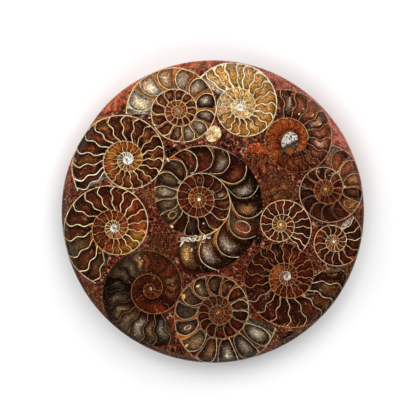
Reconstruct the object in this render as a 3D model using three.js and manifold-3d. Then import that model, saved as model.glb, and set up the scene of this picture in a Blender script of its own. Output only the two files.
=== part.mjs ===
// Fossil ammonite plate: a round slab of red-brown stone, polished on its face, with sawn
// ammonites and broken bits of shell set flush in it.
// Millimetres. The back of the plate lies on z = 0, the polished face looks up +Z, +X is to
// the right and +Y is up on the face. Directions are in degrees, counter-clockwise from +X.
import * as THREE from 'three';
import Module from 'manifold-3d';
import { mergeVertices } from 'three/addons/utils/BufferGeometryUtils.js';

const wasm = await Module();
wasm.setup();

// ---- driving dimensions ------------------------------------------------------------------

const PLATE_RADIUS = 72.5;
const THICKNESS = 16;
const RIM_ROUND = 3; // the face's edge, rounded over by the polishing
const RIM_STEPS = 4;
const BACK_CHAMFER = 1;
const PLATE_SIDES = 64;
const GROUND_FLAT = { direction: 147, spread: 12, depth: 0.8 }; // where the rim is ground back

const FIT_GAP = 0.3; // between a specimen and the stone, or the next specimen
const BLANK_TOP = THICKNESS + 1; // a specimen's body before it is ground flush with the face

// An ammonite grows by `growth` a turn. In its last half turn that slows to `lastGrowth`.
const SLOWING = 0.5;
const DEPTH_OF_REACH = 0.26; // half the shell's breadth, against its reach from the centre
const LEAST_DEPTH = 1.5;

const WALL_STEPS = 28; // stretches of a last whorl's outer wall
const MOUTH_STEPS = 3; // stretches of the mouth's edge, from the inner wall to the outer

// How a buried underside draws in: part of the depth reached, and the scale of the outline there.
const ROUND_UNDERSIDE = [[0.15, 1], [0.7, 0.92], [1, 0.62]];
const CHIP_UNDERSIDE = [[0.25, 1], [1, 0.75]];

// centre, reach of the outer wall at the mouth, direction of the mouth, coil (1 grows
// counter-clockwise), and how far the mouth's edge leads at the inner wall and at its middle.
// oval stretches the shell along ovalDirection. The order is the order of cutting: where two
// shells meet, the earlier one is whole.
const AMMONITES = [
  { name: 'top_left_ammonite', centre: [-16.3, 48.2], reach: 24.4, mouth: 184, coil: 1,
    growth: 2.07, lastGrowth: 1.76, lead: 4, bow: 0,
    oval: 1.022, ovalDirection: -20, colour: 0x8a7358 },
  { name: 'top_ammonite', centre: [13.4, 50.2], reach: 23.0, mouth: 145, coil: 1,
    growth: 2.62, lastGrowth: 1.84, lead: 6, bow: 1,
    oval: 1.023, ovalDirection: -40, colour: 0xb98d45 },
  { name: 'upper_right_ammonite', centre: [37.7, 34.7], reach: 24.1, mouth: 104, coil: 1,
    growth: 2.49, lastGrowth: 2.13, lead: 10, bow: -3,
    oval: 1.037, ovalDirection: -46, colour: 0x7a3218 },
  { name: 'left_ammonite', centre: [-47.0, -7.5], reach: 28.0, mouth: 252, coil: 1,
    growth: 2.46, lastGrowth: 2.02, lead: 9, bow: 0,
    oval: 1, ovalDirection: 0, colour: 0x54261a },
  { name: 'upper_left_ammonite', centre: [-40.7, 25.0], reach: 27.6, mouth: 213, coil: 1,
    growth: 2.52, lastGrowth: 2.0, lead: 10, bow: 0,
    oval: 1.015, ovalDirection: 5, colour: 0x5a2a18 },
  { name: 'small_inner_ammonite', centre: [32.8, -6.2], reach: 15.8, mouth: -48, coil: -1,
    growth: 2.38, lastGrowth: 2.06, lead: 8, bow: 0,
    oval: 1, ovalDirection: 0, colour: 0x6b2c18 },
  { name: 'right_ammonite', centre: [54.1, 10.8], reach: 21.0, mouth: 82, coil: 1,
    growth: 2.37, lastGrowth: 1.75, lead: 12, bow: 0,
    oval: 0.982, ovalDirection: 6, colour: 0x4a2a24 },
  { name: 'lower_right_ammonite', centre: [35.4, -30.9], reach: 29.1, mouth: 8, coil: 1,
    growth: 2.53, lastGrowth: 1.88, lead: -2, bow: 3,
    oval: 1, ovalDirection: 0, colour: 0x4c2415 },
  { name: 'lower_left_ammonite', centre: [-29.5, -37.0], reach: 28.2, mouth: 293, coil: 1,
    growth: 2.72, lastGrowth: 1.8, lead: 7, bow: 1,
    oval: 1, ovalDirection: 0, colour: 0x3a241c },
  { name: 'bottom_ammonite', centre: [2.9, -48.3], reach: 28.8, mouth: -14, coil: 1,
    growth: 2.22, lastGrowth: 1.79, lead: 8, bow: 0,
    oval: 0.984, ovalDirection: 3, colour: 0x5f452a },
  { name: 'large_centre_ammonite', centre: [-6.3, 6.1], reach: 36.1, mouth: -101, coil: -1,
    growth: 2.09, lastGrowth: 1.86, lead: 15, bow: 4,
    oval: 0.987, ovalDirection: 44, colour: 0x4a3020 },
  { name: 'small_right_ammonite', centre: [57.9, -14.0], reach: 15.3, mouth: 53, coil: 1,
    growth: 2.54, lastGrowth: 1.86, lead: 14, bow: 0,
    oval: 1.015, ovalDirection: -58, colour: 0x6a3020 },
];

// Broken bits of shell and stone between the ammonites, by their outlines on the face.
const CHIPS = [
  { name: 'cream_pebble', depth: 4, colour: 0xb8a67e, outline: [[1.9, 41.7], [3.5, 40.2],
    [4.4, 38.3], [4.4, 36.4], [3.3, 34.8], [1.4, 33.8], [-0.5, 33.2], [-2.2, 34.1], [-3.2, 36],
    [-3.1, 38.2], [-1.9, 39.5], [-0.5, 40.6]] },
  { name: 'smooth_shell_fragment', depth: 4, colour: 0x5f2d14, outline: [[23.9, 16.8], [25.8, 19],
    [28.7, 20.3], [31.6, 20.2], [34.4, 19], [37.1, 16.9], [39.2, 13.9], [40.7, 10.6], [41.6, 7.2],
    [40.6, 5.5], [36.3, 6], [32.5, 6.6], [28.7, 6.1], [24.9, 5.3], [23.4, 8.7], [23.1, 13]] },
  { name: 'veined_shell_fragment', depth: 3, colour: 0x562313, outline: [[14.6, 25.9],
    [15.8, 28.5], [17.2, 29.2], [20.1, 27.5], [25.8, 27.5], [26.8, 24.4], [27, 21.3], [24.9, 19.2],
    [23, 16.8], [20.8, 16.8], [18.7, 19.7], [16.5, 22.8]] },
  { name: 'orange_shell_fragment', depth: 2.5, colour: 0xa84a24, outline: [[16.7, 30.7],
    [18.2, 32.4], [20.6, 33], [23.9, 32.8], [25.5, 30.7], [26.2, 28], [22, 27.6], [18.9, 28.7]] },
  { name: 'holed_shell_fragment', depth: 3, colour: 0x6b2f1c, outline: [[-29.7, -1.4],
    [-27.7, 0.3], [-25.8, -4], [-24.2, -2.3], [-22.2, -4], [-21.5, -6.6], [-22.5, -8.7],
    [-24.9, -10.3], [-27.7, -10.9], [-29.8, -10.3], [-29.7, -5.7]] },
  { name: 'streaked_shell_fragment', depth: 3, colour: 0x4a2416, outline: [[-30.3, -11.9],
    [-27.3, -11.5], [-24.4, -11], [-22.2, -9.5], [-20.6, -11.9], [-19.1, -15.7], [-18.2, -18.6],
    [-19.1, -22], [-22, -20.3], [-25.8, -18.7], [-29.7, -17.9], [-30.8, -15.3]] },
  { name: 'ribbed_shell_fragment', depth: 3, colour: 0x473120, outline: [[-34.4, 9.9],
    [-31.1, 10.4], [-27.7, 9.9], [-27.5, 7.2], [-28.5, 3.9], [-29.7, 1.8], [-31.1, 4.4],
    [-32.8, 7.2]] },
  { name: 'dark_polygon_chip', depth: 2.5, colour: 0x33200f, outline: [[-22.2, 28.7],
    [-19.8, 29.9], [-17.6, 31], [-16.8, 30.7], [-15.8, 29], [-17.2, 27.3], [-18.9, 25.6],
    [-20.9, 25.6], [-22.1, 26.8]] },
  { name: 'dark_chip_by_pebble', depth: 2, colour: 0x2c1612, outline: [[5, 34.6], [6.2, 36.4],
    [7.7, 34.7], [8.8, 32.8], [7.9, 31.8], [6, 33.2]] },
  { name: 'dark_chip_below_pebble', depth: 2, colour: 0x2c1612, outline: [[4.2, 32.2],
    [5.2, 32.9], [7.2, 31.2], [7.6, 30.6], [6.7, 29.7], [4.3, 30.4]] },
  { name: 'dark_chip_near_centre', depth: 2, colour: 0x2a1813, outline: [[20.1, -11],
    [22.5, -9.8], [24.2, -11.2], [24.6, -13.1], [23.6, -14.3], [22.6, -16], [21, -15],
    [20.4, -12.9]] },
  { name: 'slate_sliver', depth: 1.5, colour: 0x22160f, outline: [[-27.2, 0.9], [-25.6, 0.6],
    [-25, -3], [-25.9, -4], [-26.8, -1.5]] },
  { name: 'bottom_shell_fragment', depth: 2.5, colour: 0x45362a, outline: [[-17.5, -64.5],
    [-15.8, -64], [-13.2, -64.3], [-12.9, -66.4], [-13.1, -68.8], [-12, -71.4], [-14.8, -71.2],
    [-17.9, -70.5], [-17.9, -68.3], [-17.2, -66.4]] },
  { name: 'bottom_round_chip', depth: 1.5, colour: 0x1c100e, outline: [[-20.4, -65.5],
    [-19.2, -64.8], [-18.3, -65.5], [-18.2, -66.5], [-18.9, -67.2], [-20, -66.9]] },
  { name: 'dark_shell_fragment', depth: 3, colour: 0x2c211a, outline: [[34.7, -58.8],
    [36.8, -56.5], [40.2, -57.3], [42.6, -58.1], [41.1, -60], [38.7, -62.1], [34.4, -64.8],
    [29.2, -66.9], [30.6, -65], [32.5, -62.6]] },
  { name: 'black_chip', depth: 1.5, colour: 0x120d0c, outline: [[50.7, -5.4], [52.1, -5.7],
    [52.4, -7.4], [51.4, -8.7], [50.5, -8.5], [50.6, -6.6]] },
  { name: 'top_shell_sliver', depth: 1.5, colour: 0x4a3a26, outline: [[-10.8, 68.8],
    [-7.7, 70], [-4.3, 70.1], [-2.6, 69.6], [-4.1, 68.9], [-7.2, 68.6], [-9.6, 67.7]] },
];

// ---- shapes --------------------------------------------------------------------------------

const UP = new THREE.Vector3(0, 0, 1);
const radians = THREE.MathUtils.degToRad;

// How far the plate's rim lies from its axis in a direction.
function rimRadius(direction) {
  const turned = direction - GROUND_FLAT.direction;
  const away = Math.abs(THREE.MathUtils.euclideanModulo(turned + 180, 360) - 180);
  return PLATE_RADIUS - GROUND_FLAT.depth * Math.exp(-((away / GROUND_FLAT.spread) ** 2));
}

// Reach of the outer wall `back` degrees of growth before the mouth.
function wallReach(shell, back) {
  const turns = back / 360;
  const inner = Math.log(shell.growth);
  const last = Math.log(shell.lastGrowth);
  const slowed = (last - inner) * SLOWING * (1 - Math.exp(-turns / SLOWING));
  return shell.reach * Math.exp(-inner * turns - slowed);
}

function shellPoint(shell, reach, direction) {
  const along = radians(direction - shell.ovalDirection);
  const point = new THREE.Vector2(Math.cos(along) * shell.oval, Math.sin(along) / shell.oval);
  point.multiplyScalar(reach).rotateAround(new THREE.Vector2(), radians(shell.ovalDirection));
  return point.add(new THREE.Vector2(...shell.centre));
}

// The last whorl's outer wall, closed across the mouth.
function shellOutline(shell) {
  const innerEnd = 360 - shell.lead;
  const points = [];
  for (let i = 0; i <= WALL_STEPS; i += 1) {
    const back = (innerEnd * i) / WALL_STEPS;
    points.push(shellPoint(shell, wallReach(shell, back), shell.mouth - shell.coil * back));
  }
  const innerReach = wallReach(shell, innerEnd);
  for (let i = 1; i < MOUTH_STEPS; i += 1) {
    const v = i / MOUTH_STEPS;
    const ahead = shell.lead * (1 - v) + shell.bow * Math.sin(Math.PI * v);
    const reach = THREE.MathUtils.lerp(innerReach, shell.reach, v);
    points.push(shellPoint(shell, reach, shell.mouth + shell.coil * ahead));
  }
  return points;
}

function counterClockwise(points) {
  return THREE.ShapeUtils.isClockWise(points) ? points.slice().reverse() : points;
}

// The outline moved outwards by a gap, corner by corner.
function grown(outline, gap) {
  return outline.map((point, i) => {
    const before = outline[(i + outline.length - 1) % outline.length];
    const after = outline[(i + 1) % outline.length];
    const a = point.clone().sub(before).normalize();
    const b = after.clone().sub(point).normalize();
    const out = new THREE.Vector2(a.y + b.y, -a.x - b.x).normalize();
    const sharpness = Math.max(0.5, out.dot(new THREE.Vector2(a.y, -a.x)));
    return point.clone().addScaledVector(out, gap / sharpness);
  });
}

// A closed solid through rings of equal count, listed from the top down, each
// counter-clockwise from above.
function loft(rings) {
  const count = rings[0].length;
  const positions = rings.flat().flatMap((p) => [p.x, p.y, p.z]);
  const index = [];
  for (let k = 0; k < rings.length - 1; k += 1) {
    for (let i = 0; i < count; i += 1) {
      const j = (i + 1) % count;
      const top = k * count;
      const low = top + count;
      index.push(low + i, low + j, top + j, low + i, top + j, top + i);
    }
  }
  const lastRing = (rings.length - 1) * count;
  for (const [a, b, c] of THREE.ShapeUtils.triangulateShape(rings[0], [])) {
    index.push(a, b, c);
    index.push(lastRing + a, lastRing + c, lastRing + b);
  }
  const geometry = new THREE.BufferGeometry();
  geometry.setAttribute('position', new THREE.Float32BufferAttribute(positions, 3));
  geometry.setIndex(index);
  return geometry;
}

function plateGeometry() {
  const profile = [];
  for (let i = 0; i <= RIM_STEPS; i += 1) {
    const turn = (Math.PI / 2) * (i / RIM_STEPS);
    profile.push([RIM_ROUND * (1 - Math.sin(turn)), THICKNESS - RIM_ROUND * (1 - Math.cos(turn))]);
  }
  profile.push([0, BACK_CHAMFER], [BACK_CHAMFER, 0]);
  const rings = profile.map(([inset, z]) => {
    const ring = [];
    for (let i = 0; i < PLATE_SIDES; i += 1) {
      const direction = (360 * i) / PLATE_SIDES;
      const corner = new THREE.Vector3(rimRadius(direction) - inset, 0, z);
      ring.push(corner.applyAxisAngle(UP, radians(direction)));
    }
    return ring;
  });
  return loft(rings);
}

// A specimen's body under its outline: straight at the face, then drawn in towards a middle.
function bodyGeometry(outline, middle, depth, underside) {
  const ringAt = (scale, z) => outline.map((p) => new THREE.Vector3(
    middle.x + (p.x - middle.x) * scale,
    middle.y + (p.y - middle.y) * scale,
    z,
  ));
  const rings = [ringAt(1, BLANK_TOP)];
  for (const [part, scale] of underside) rings.push(ringAt(scale, THICKNESS - depth * part));
  return loft(rings);
}

// ---- cutting -------------------------------------------------------------------------------

function toSolid(geometry) {
  const merged = mergeVertices(geometry);
  return new wasm.Manifold(new wasm.Mesh({
    numProp: 3,
    vertProperties: new Float32Array(merged.attributes.position.array),
    triVerts: new Uint32Array(merged.index.array),
  }));
}

function toGeometry(solid) {
  const mesh = solid.getMesh();
  const geometry = new THREE.BufferGeometry();
  geometry.setAttribute('position', new THREE.BufferAttribute(mesh.vertProperties, 3));
  geometry.setIndex(new THREE.BufferAttribute(mesh.triVerts, 1));
  return geometry;
}

// A cut can shave loose crumbs off a solid: the body that counts is the largest.
function largestBody(solid) {
  return solid.decompose().reduce((best, body) => (body.volume() > best.volume() ? body : best));
}

// ---- the plate and what is set in it -------------------------------------------------------

function describe(specimen) {
  const isShell = specimen.reach !== undefined;
  const outline = counterClockwise(isShell
    ? shellOutline(specimen)
    : specimen.outline.map(([x, y]) => new THREE.Vector2(x, y)));
  const middle = new THREE.Vector2();
  if (isShell) middle.set(...specimen.centre);
  else outline.forEach((p) => middle.addScaledVector(p, 1 / outline.length));
  const depth = isShell ? LEAST_DEPTH + DEPTH_OF_REACH * specimen.reach : specimen.depth;
  const underside = isShell ? ROUND_UNDERSIDE : CHIP_UNDERSIDE;
  return { ...specimen, outline, middle, depth, underside };
}

const group = new THREE.Group();

function addNode(name, solid, colour, roughness) {
  const material = new THREE.MeshStandardMaterial({ color: colour, roughness, metalness: 0 });
  const mesh = new THREE.Mesh(toGeometry(solid), material);
  mesh.name = name;
  group.add(mesh);
}

const plate = toSolid(plateGeometry());
let stone = plate;
const pockets = [];
for (const specimen of [...AMMONITES, ...CHIPS].map(describe)) {
  const { name, colour, outline, middle, depth, underside } = specimen;
  let body = toSolid(bodyGeometry(outline, middle, depth, underside)).intersect(plate);
  for (const pocket of pockets) body = body.subtract(pocket);
  const roomy = grown(outline, FIT_GAP);
  const pocket = toSolid(bodyGeometry(roomy, middle, depth + FIT_GAP, underside));
  pockets.push(pocket);
  stone = stone.subtract(pocket);
  addNode(name, largestBody(body), colour, 0.15);
}
addNode('stone_matrix', largestBody(stone), 0x8a3a22, 0.3);

export default group;
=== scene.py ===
import math
import random

import bmesh
import bpy
import numpy as np
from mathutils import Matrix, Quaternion, Vector


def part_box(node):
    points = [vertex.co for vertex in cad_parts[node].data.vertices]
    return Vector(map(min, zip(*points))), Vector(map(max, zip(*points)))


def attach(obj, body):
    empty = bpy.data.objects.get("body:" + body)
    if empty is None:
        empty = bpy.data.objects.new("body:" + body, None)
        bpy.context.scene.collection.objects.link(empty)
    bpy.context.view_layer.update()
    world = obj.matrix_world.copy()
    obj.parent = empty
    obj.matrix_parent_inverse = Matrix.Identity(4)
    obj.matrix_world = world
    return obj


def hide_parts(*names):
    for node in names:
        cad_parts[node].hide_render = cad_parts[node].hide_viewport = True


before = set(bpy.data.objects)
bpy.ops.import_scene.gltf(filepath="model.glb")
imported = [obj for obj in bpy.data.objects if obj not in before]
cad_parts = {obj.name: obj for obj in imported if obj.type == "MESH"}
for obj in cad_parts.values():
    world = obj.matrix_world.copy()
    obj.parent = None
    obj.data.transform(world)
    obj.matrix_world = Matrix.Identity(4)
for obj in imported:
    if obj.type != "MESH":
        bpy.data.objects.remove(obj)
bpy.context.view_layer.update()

bl_info = {
    "name": "Ammonite Plate",
    "version": (1, 0, 0),
    "blender": (4, 5, 0),
    "location": "View3D > Sidebar > Ammonite Plate",
    "description": "Dresses a polished stone plate with sawn ammonites set in it",
    "category": "Object",
}

MM = 0.001
BODY = "root"

# ---- the plate, in millimetres and degrees -------------------------------------------------

STONE_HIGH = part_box("stone_matrix")[1]
PLATE_RADIUS = STONE_HIGH.x / MM
THICKNESS = STONE_HIGH.z / MM
RIM_ROUND = 3  # the face's edge, rounded over by the polishing
ROUND_LENGTH = RIM_ROUND * math.pi / 2
BACK_CHAMFER = 1
GROUND_DIRECTION = 147  # where the rim is ground back a little
GROUND_SPREAD = 12
GROUND_DEPTH = 0.8
SMOOTH_BAND = (9, 1)  # from where to where, in from the rim, the stone grows smooth
# Sides of the smooth rim: orange jasper, painted brighter as if lit from behind, and a painted pink
# glare that stands in for the bright surroundings reflected in the polish.
BACKLIT_JASPER_SIDE = (-0.6, 0.8, 0)  # where the smooth rim is orange
PINK_GLARE_SIDE = (0.64, 0.77, 0)  # where it is pink
FACING_UP = 0.05  # least upward part of the normal of a solid's top face

# ---- how the pieces are made ---------------------------------------------------------------

STONE_SIDES = 256
ROUND_STEPS = 24
SHARP_ANGLE = 50
FRAGMENT_CELL = 1.0
FRAGMENT_CUTS = 6
PATCH_RINGS = (0.03, 0.55, 1.0)  # of a filled patch, as shares of its reach
COVER_MARGIN = 0.25  # how far under a neighbour a face reaches before it is left out
LEVEL_STEP = 0.012  # between specimens that overlap, so that one lies clearly on top
SKIRT_ROWS = 6
SKIRT_LEAST = 0.3  # least height of what a specimen shows on the plate's side
SKIRT_DRIFT = (0.3, 0, 1)  # of the texture down the side, per millimetre
LEAST_DEPTH = 1.5  # of a specimen's buried body, as in its solid
DEPTH_OF_REACH = 0.26
DEPTH_PLACES = (0.62, 0.92, 1)  # shares of the reach, with the share of the depth at each
DEPTH_SHARES = (1, 0.7, 0.15)

SLOWING = 0.5  # turns over which a shell's growth falls to that of its mouth
HUB_REACH = 1.1  # where the coil ends and the hub begins
HUB_SIDES = 36
HUB_RINGS = (0.02, 0.5, 1.0)
# what the hub's points carry besides their tones and their place in the grain
HUB_FACTS = {"ring": [0.3], "edge": [2.0], "glow": [0.0], "behind": [0.0]}
SPACING_RANGE = (0.93, 1.07)  # how the step between chamber walls wanders
WAVE_TOP = 0.52  # height across the whorl at which a chamber wall's wave starts
HEART_PLACE = 0.38  # how far back in its chamber a heart lies
HEART_FRONT = 0.4  # how far it may reach forward from there
FRONT_CURL = 6
LEAST_CHAMBER = 0.2  # degrees
LEAST_ROWS = 4
LEAST_COLUMNS = 5
GRAIN_SHIFT = 400  # so that no two chambers have the same grain
CHAMBER_SPREAD = 0.14  # how the chambers' tones differ, and beyond that their hearts'
HEART_SPREAD = 0.1
WALL_STEP = 3.0  # degrees between points of the outer wall
SEPTUM_STEP = 0.45
WALL_WAVER = 0.16  # how a wall's thickness wanders
# of the waves that make something uneven: their number, paces, starts and sizes
WAVES = 4
WAVE_PACES = (0.05, 0.5)
WAVE_STARTS = (0, 7)
WAVE_SIZES = (0.3, 1)
SEPTUM_SPREAD = 0.12  # how the chamber walls' thickness differs, and how their tones do
SEPTUM_TONES = 0.1
FLARE = 0.05  # height over which a chamber wall widens at either end
HEAD_FLARE = 0.5
SWEEP_FLARE = 6  # degrees of sweep over which its foot falls away
# A swept foot is thinner: by the sweep over the first, at most the second, and over this height.
SWEEP_THIN = (30, 0.6, 0.12)
MARK_SIDES = 28
MARK_WAVER = 0.9
MARK_WIDTHS = (0.1, 1.8)
PLUG_RINGS = 5
PLUG_WAVER = 0.05

# ---- the stage -----------------------------------------------------------------------------

CAMERA_LENS = 150
CLIP_START = 0.01
VIEW_CENTRE = (-2.0, 1.9)
VIEW_HALF_WIDTH = 99.3
FLOOR_HALF = 2.0
# how high a direction points, and how bright the surroundings are there
SKY_RANGE = {"From Min": 0.1, "From Max": 0.7, "To Min": 0.5, "To Max": 0.03}
# name, place in metres, size in metres, share of the main lamp's power
LAMPS = (
    ("key", (0.45, 0.65, 1.0), 1.3, 1.0),
    ("side", (-0.8, 0.3, 1.0), 1.4, 0.8),
    ("fill", (0.1, -0.9, 0.9), 1.3, 0.6),
)

# ---- tones and textures --------------------------------------------------------------------

# Mineral and shell colours by name, as sRGB hex.
TONES = dict(
    white="f4f4f4", snow="ebe6dc", ivory="e6dcc2", cream="d8c49a", pearl="c6b597", bone="bca78b",
    straw="c9a05c", tan="a87c4c", dun="84603a", ochre="8f6220", honey="a8681e", amber="88440a",
    orange="a44c12", peach="e8b890", russet="5f3219", rust="712c0c", brick="5b220e", maroon="42150b",
    plum="38170f", umber="4a230f", bark="2b1209", soot="150d08", gold="94703a", mud="392c20",
    moss="483b2b", olive="604d36", slate="7a6e60", silver="9c9080", rose="74422e", blush="a9826c",
    hazel="7a4c2c", cinnamon="783a18", salmon="b4694a", pink="965048",
)

# How polishing deepens a colour.
POLISH_POWER = 1.2
POLISH_GAIN = 1.34
POLISH_SATURATION = 0.97
COAT = 0.08
COAT_ROUGHNESS = 0.06
SPECULAR = 0.15

NOISE_RANGE = (0.28, 0.72)  # in which nearly all of a noise lies
# Cloudy textures: scale per millimetre, detail, roughness and distortion. The scale of a
# fragment's streaks is divided by the size of its mottling.
CHAMBER_CLOUD = (0.45, 2, 0.55, 0)
CHAMBER_FIBRE = (0.9, 4, 0.75, 0.8)
CHAMBER_GRIT = (1.5, 3, 0.75, 0)
CHAMBER_GLINT = (1.2, 2, 0.65, 0)
CHAMBER_PATCH = (0.8, 4, 0.8, 0)
CHAMBER_DOTS = (2.2, 2, 0.7, 0)
WALL_MOTTLE = (0.7, 4, 0.7, 0)
STONE_CLOUD = (0.25, 3, 0.6, 0.4)
STONE_GRIT = (1.1, 5, 0.8, 0)
FRAGMENT_STREAK = (1, 4, 0.6, 0.5)
FRAGMENT_GRIT = (2.4, 3, 0.7, 0)
FRAGMENT_PATCH = (0.6, 4, 0.75, 0)
FRAGMENT_FLECK_AND_SPARKLE = (1.9, 2, 0.7, 0)
SUGAR_GRIT = (1.6, 3, 0.7, 0)
CHIP_STREAK = (1.3, 3, 0.65, 0)
CHIP_GRIT = (3, 3, 0.7, 0)
FLOOR_CLOUD = (0.02, 3, 0.55, 0)
# The noise that pushes the stone's bits and the sugary crystals out of true.
STONE_WOBBLE = dict(Scale=0.9, Detail=3.0)
SUGAR_WOBBLE = dict(Scale=1.2)
# Grains: the channel of a cell's colour that picks them, over what span of it, and over what
# span of the distance from a cell's middle they fade.
BITS = (0, (0.4, 0.55), (0.75, 0.4))
DARK_GRAINS = (1, (0.66, 0.78), (0.55, 0.3))
LIGHT_GRAINS = (0, (0.76, 0.84), (0.45, 0.15))
DUST = (0, (0.86, 0.92), (0.4, 0.15))
CRYSTAL_DARK_SPOTS = (1, (0.7, 0.8), (0.75, 0.45))
# Over a filling's ring, which is 0 in its heart and 1 at its edge: where the heart's tone is
# at its fullest, and the spans over which the painted highlight spots, the painted glints, the
# dark rim and the pale outline come and go.
HEART_FULL = -0.05
HIGHLIGHT_SPOT_SPAN = (0.35, 0.0)
GLINT_SPAN = (0.7, 0.2)
RIM_BAND = (0.5, 0.85, 0.92, 1.08)
LINE_BAND = (0.9, 0.97, 0.99, 1.06)
# Spans of a texture over which what it draws sets in.
VEINS = (0.65, 1.0)
DARK_SPECKS = (0.6, 0.35)
GLINTS = (0.8, 0.98)
FRAGMENT_FLECKS_AND_SPARKLES = (0.76, 0.88)
SALMON_PATCHES = (0.3, 0.8)


def linear(name):
    """The named tone as linear red, green and blue."""
    code = TONES[name]
    channels = [int(code[i:i + 2], 16) / 255 for i in (0, 2, 4)]
    return tuple(c / 12.92 if c <= 0.04045 else ((c + 0.055) / 1.055) ** 2.4 for c in channels)


def read_stops(text, count):
    """Stops of (t, tuple) from "t value value, ...". A tone's name stands for its channels, and
    the last value for those that are left out, up to the count."""
    stops = []
    for stop in filter(str.strip, text.split(",")):
        t, *values = stop.split()
        values += values[-1:] * (count - len(values))
        parts = [linear(value) if value in TONES else (float(value),) for value in values]
        stops.append((float(t), sum(parts, ())))
    return stops


def along(stops, t):
    """The tuple at t, from stops of (t, tuple)."""
    if t <= stops[0][0]:
        return stops[0][1]
    for (t0, low), (t1, high) in zip(stops, stops[1:]):
        if t <= t1:
            part = (t - t0) / (t1 - t0)
            return tuple(a + (b - a) * part for a, b in zip(low, high))
    return stops[-1][1]


# ---- the specimens -------------------------------------------------------------------------

# Shells are logarithmic spirals. A place on one is its degrees of growth before the mouth, and
# a height runs across the whorl, from 0 at its inner wall to 1 at its outer one. Texts by place
# are stops of "place value value ...", what lies between is blended, and the last value of a
# stop stands for those left out.
# - centre, reach, mouth, coil: the spiral's middle, the outer wall's reach and direction at the
#   mouth, and 1 where it grows anticlockwise, else -1
# - growth, last_growth: how many times the reach grows in a turn, far in and at the mouth
# - lead, bow: how far the mouth's edge runs ahead at its inner end and in the middle
# - oval, oval_direction: how far the coil is drawn out, and in what direction
# - septa, spacing: places of the outer chamber walls, and the usual step from there in
# - shape: by place, how far a chamber wall waves, and how far back its inner and its outer end
#   sweep, in degrees. They part at the height turn. hook is how sharply the inner end bends.
# - round: by place, how square a filling is, and how far back in its chamber it reaches
# - fill: by place, the tones of the heart, inner and outer body, inner and outer corner
# - shell: by place, the tones of the outer wall and of the chamber walls
# - wall, septum, foot: thickness of the outer wall and of the chamber walls, and how much wider
#   a chamber wall is at its foot
# - star, walls_to: the place from which the walls are stouter and how much, and where they end
# - spark, heart, core, glint, spot: how many pale flecks there are, partly painted
#   sparkle highlights, how strong the heart is, how far it reaches, and how strong its painted
#   glints and the painted highlight spot in its middle are
# - rim, vein, halo, outline: how strong the filling's dark rim, its veins, the corners' tone
#   along the walls, and the pale line round the filling are
# - ragged, stretch: how ragged a filling's edge is, and how far its fibres are drawn out
# - silt: whether the part before the first chamber wall is plain, with no heart
# - hub, plug: the hub's tone, and x, y, half width and half height of coarse crystals on it
# - marks: by place, a ring's or a patch's height, its half length and half breadth, the ring's
#   line width or 0 for a patch, and its tone. Some pale patches are painted sparkle highlights.
COMMON_SHELL = dict(
    coil=1, bow=0, oval=1, oval_direction=0, turn=0.5, hook=2, foot=0.7, star=(math.inf, 1),
    walls_to=math.inf, core=0.8, glint=0.6, spot=0.6, rim=0.6, vein=0.5, halo=0.45, outline=0,
    ragged=1, stretch=1, silt=True, plug=None, marks="",
)
# The texts by place, and how many values a stop has in each.
BY_PLACE = {"shape": 3, "round": 2, "fill": 5, "shell": 2, "marks": 5}


def ammonite(name, **own):
    """A shell's values: what most share, then its own, with its texts by place read."""
    shell = {**COMMON_SHELL, "name": name, **own}
    for key, count in BY_PLACE.items():
        shell[key] = read_stops(shell[key], count)
    return shell


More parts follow.
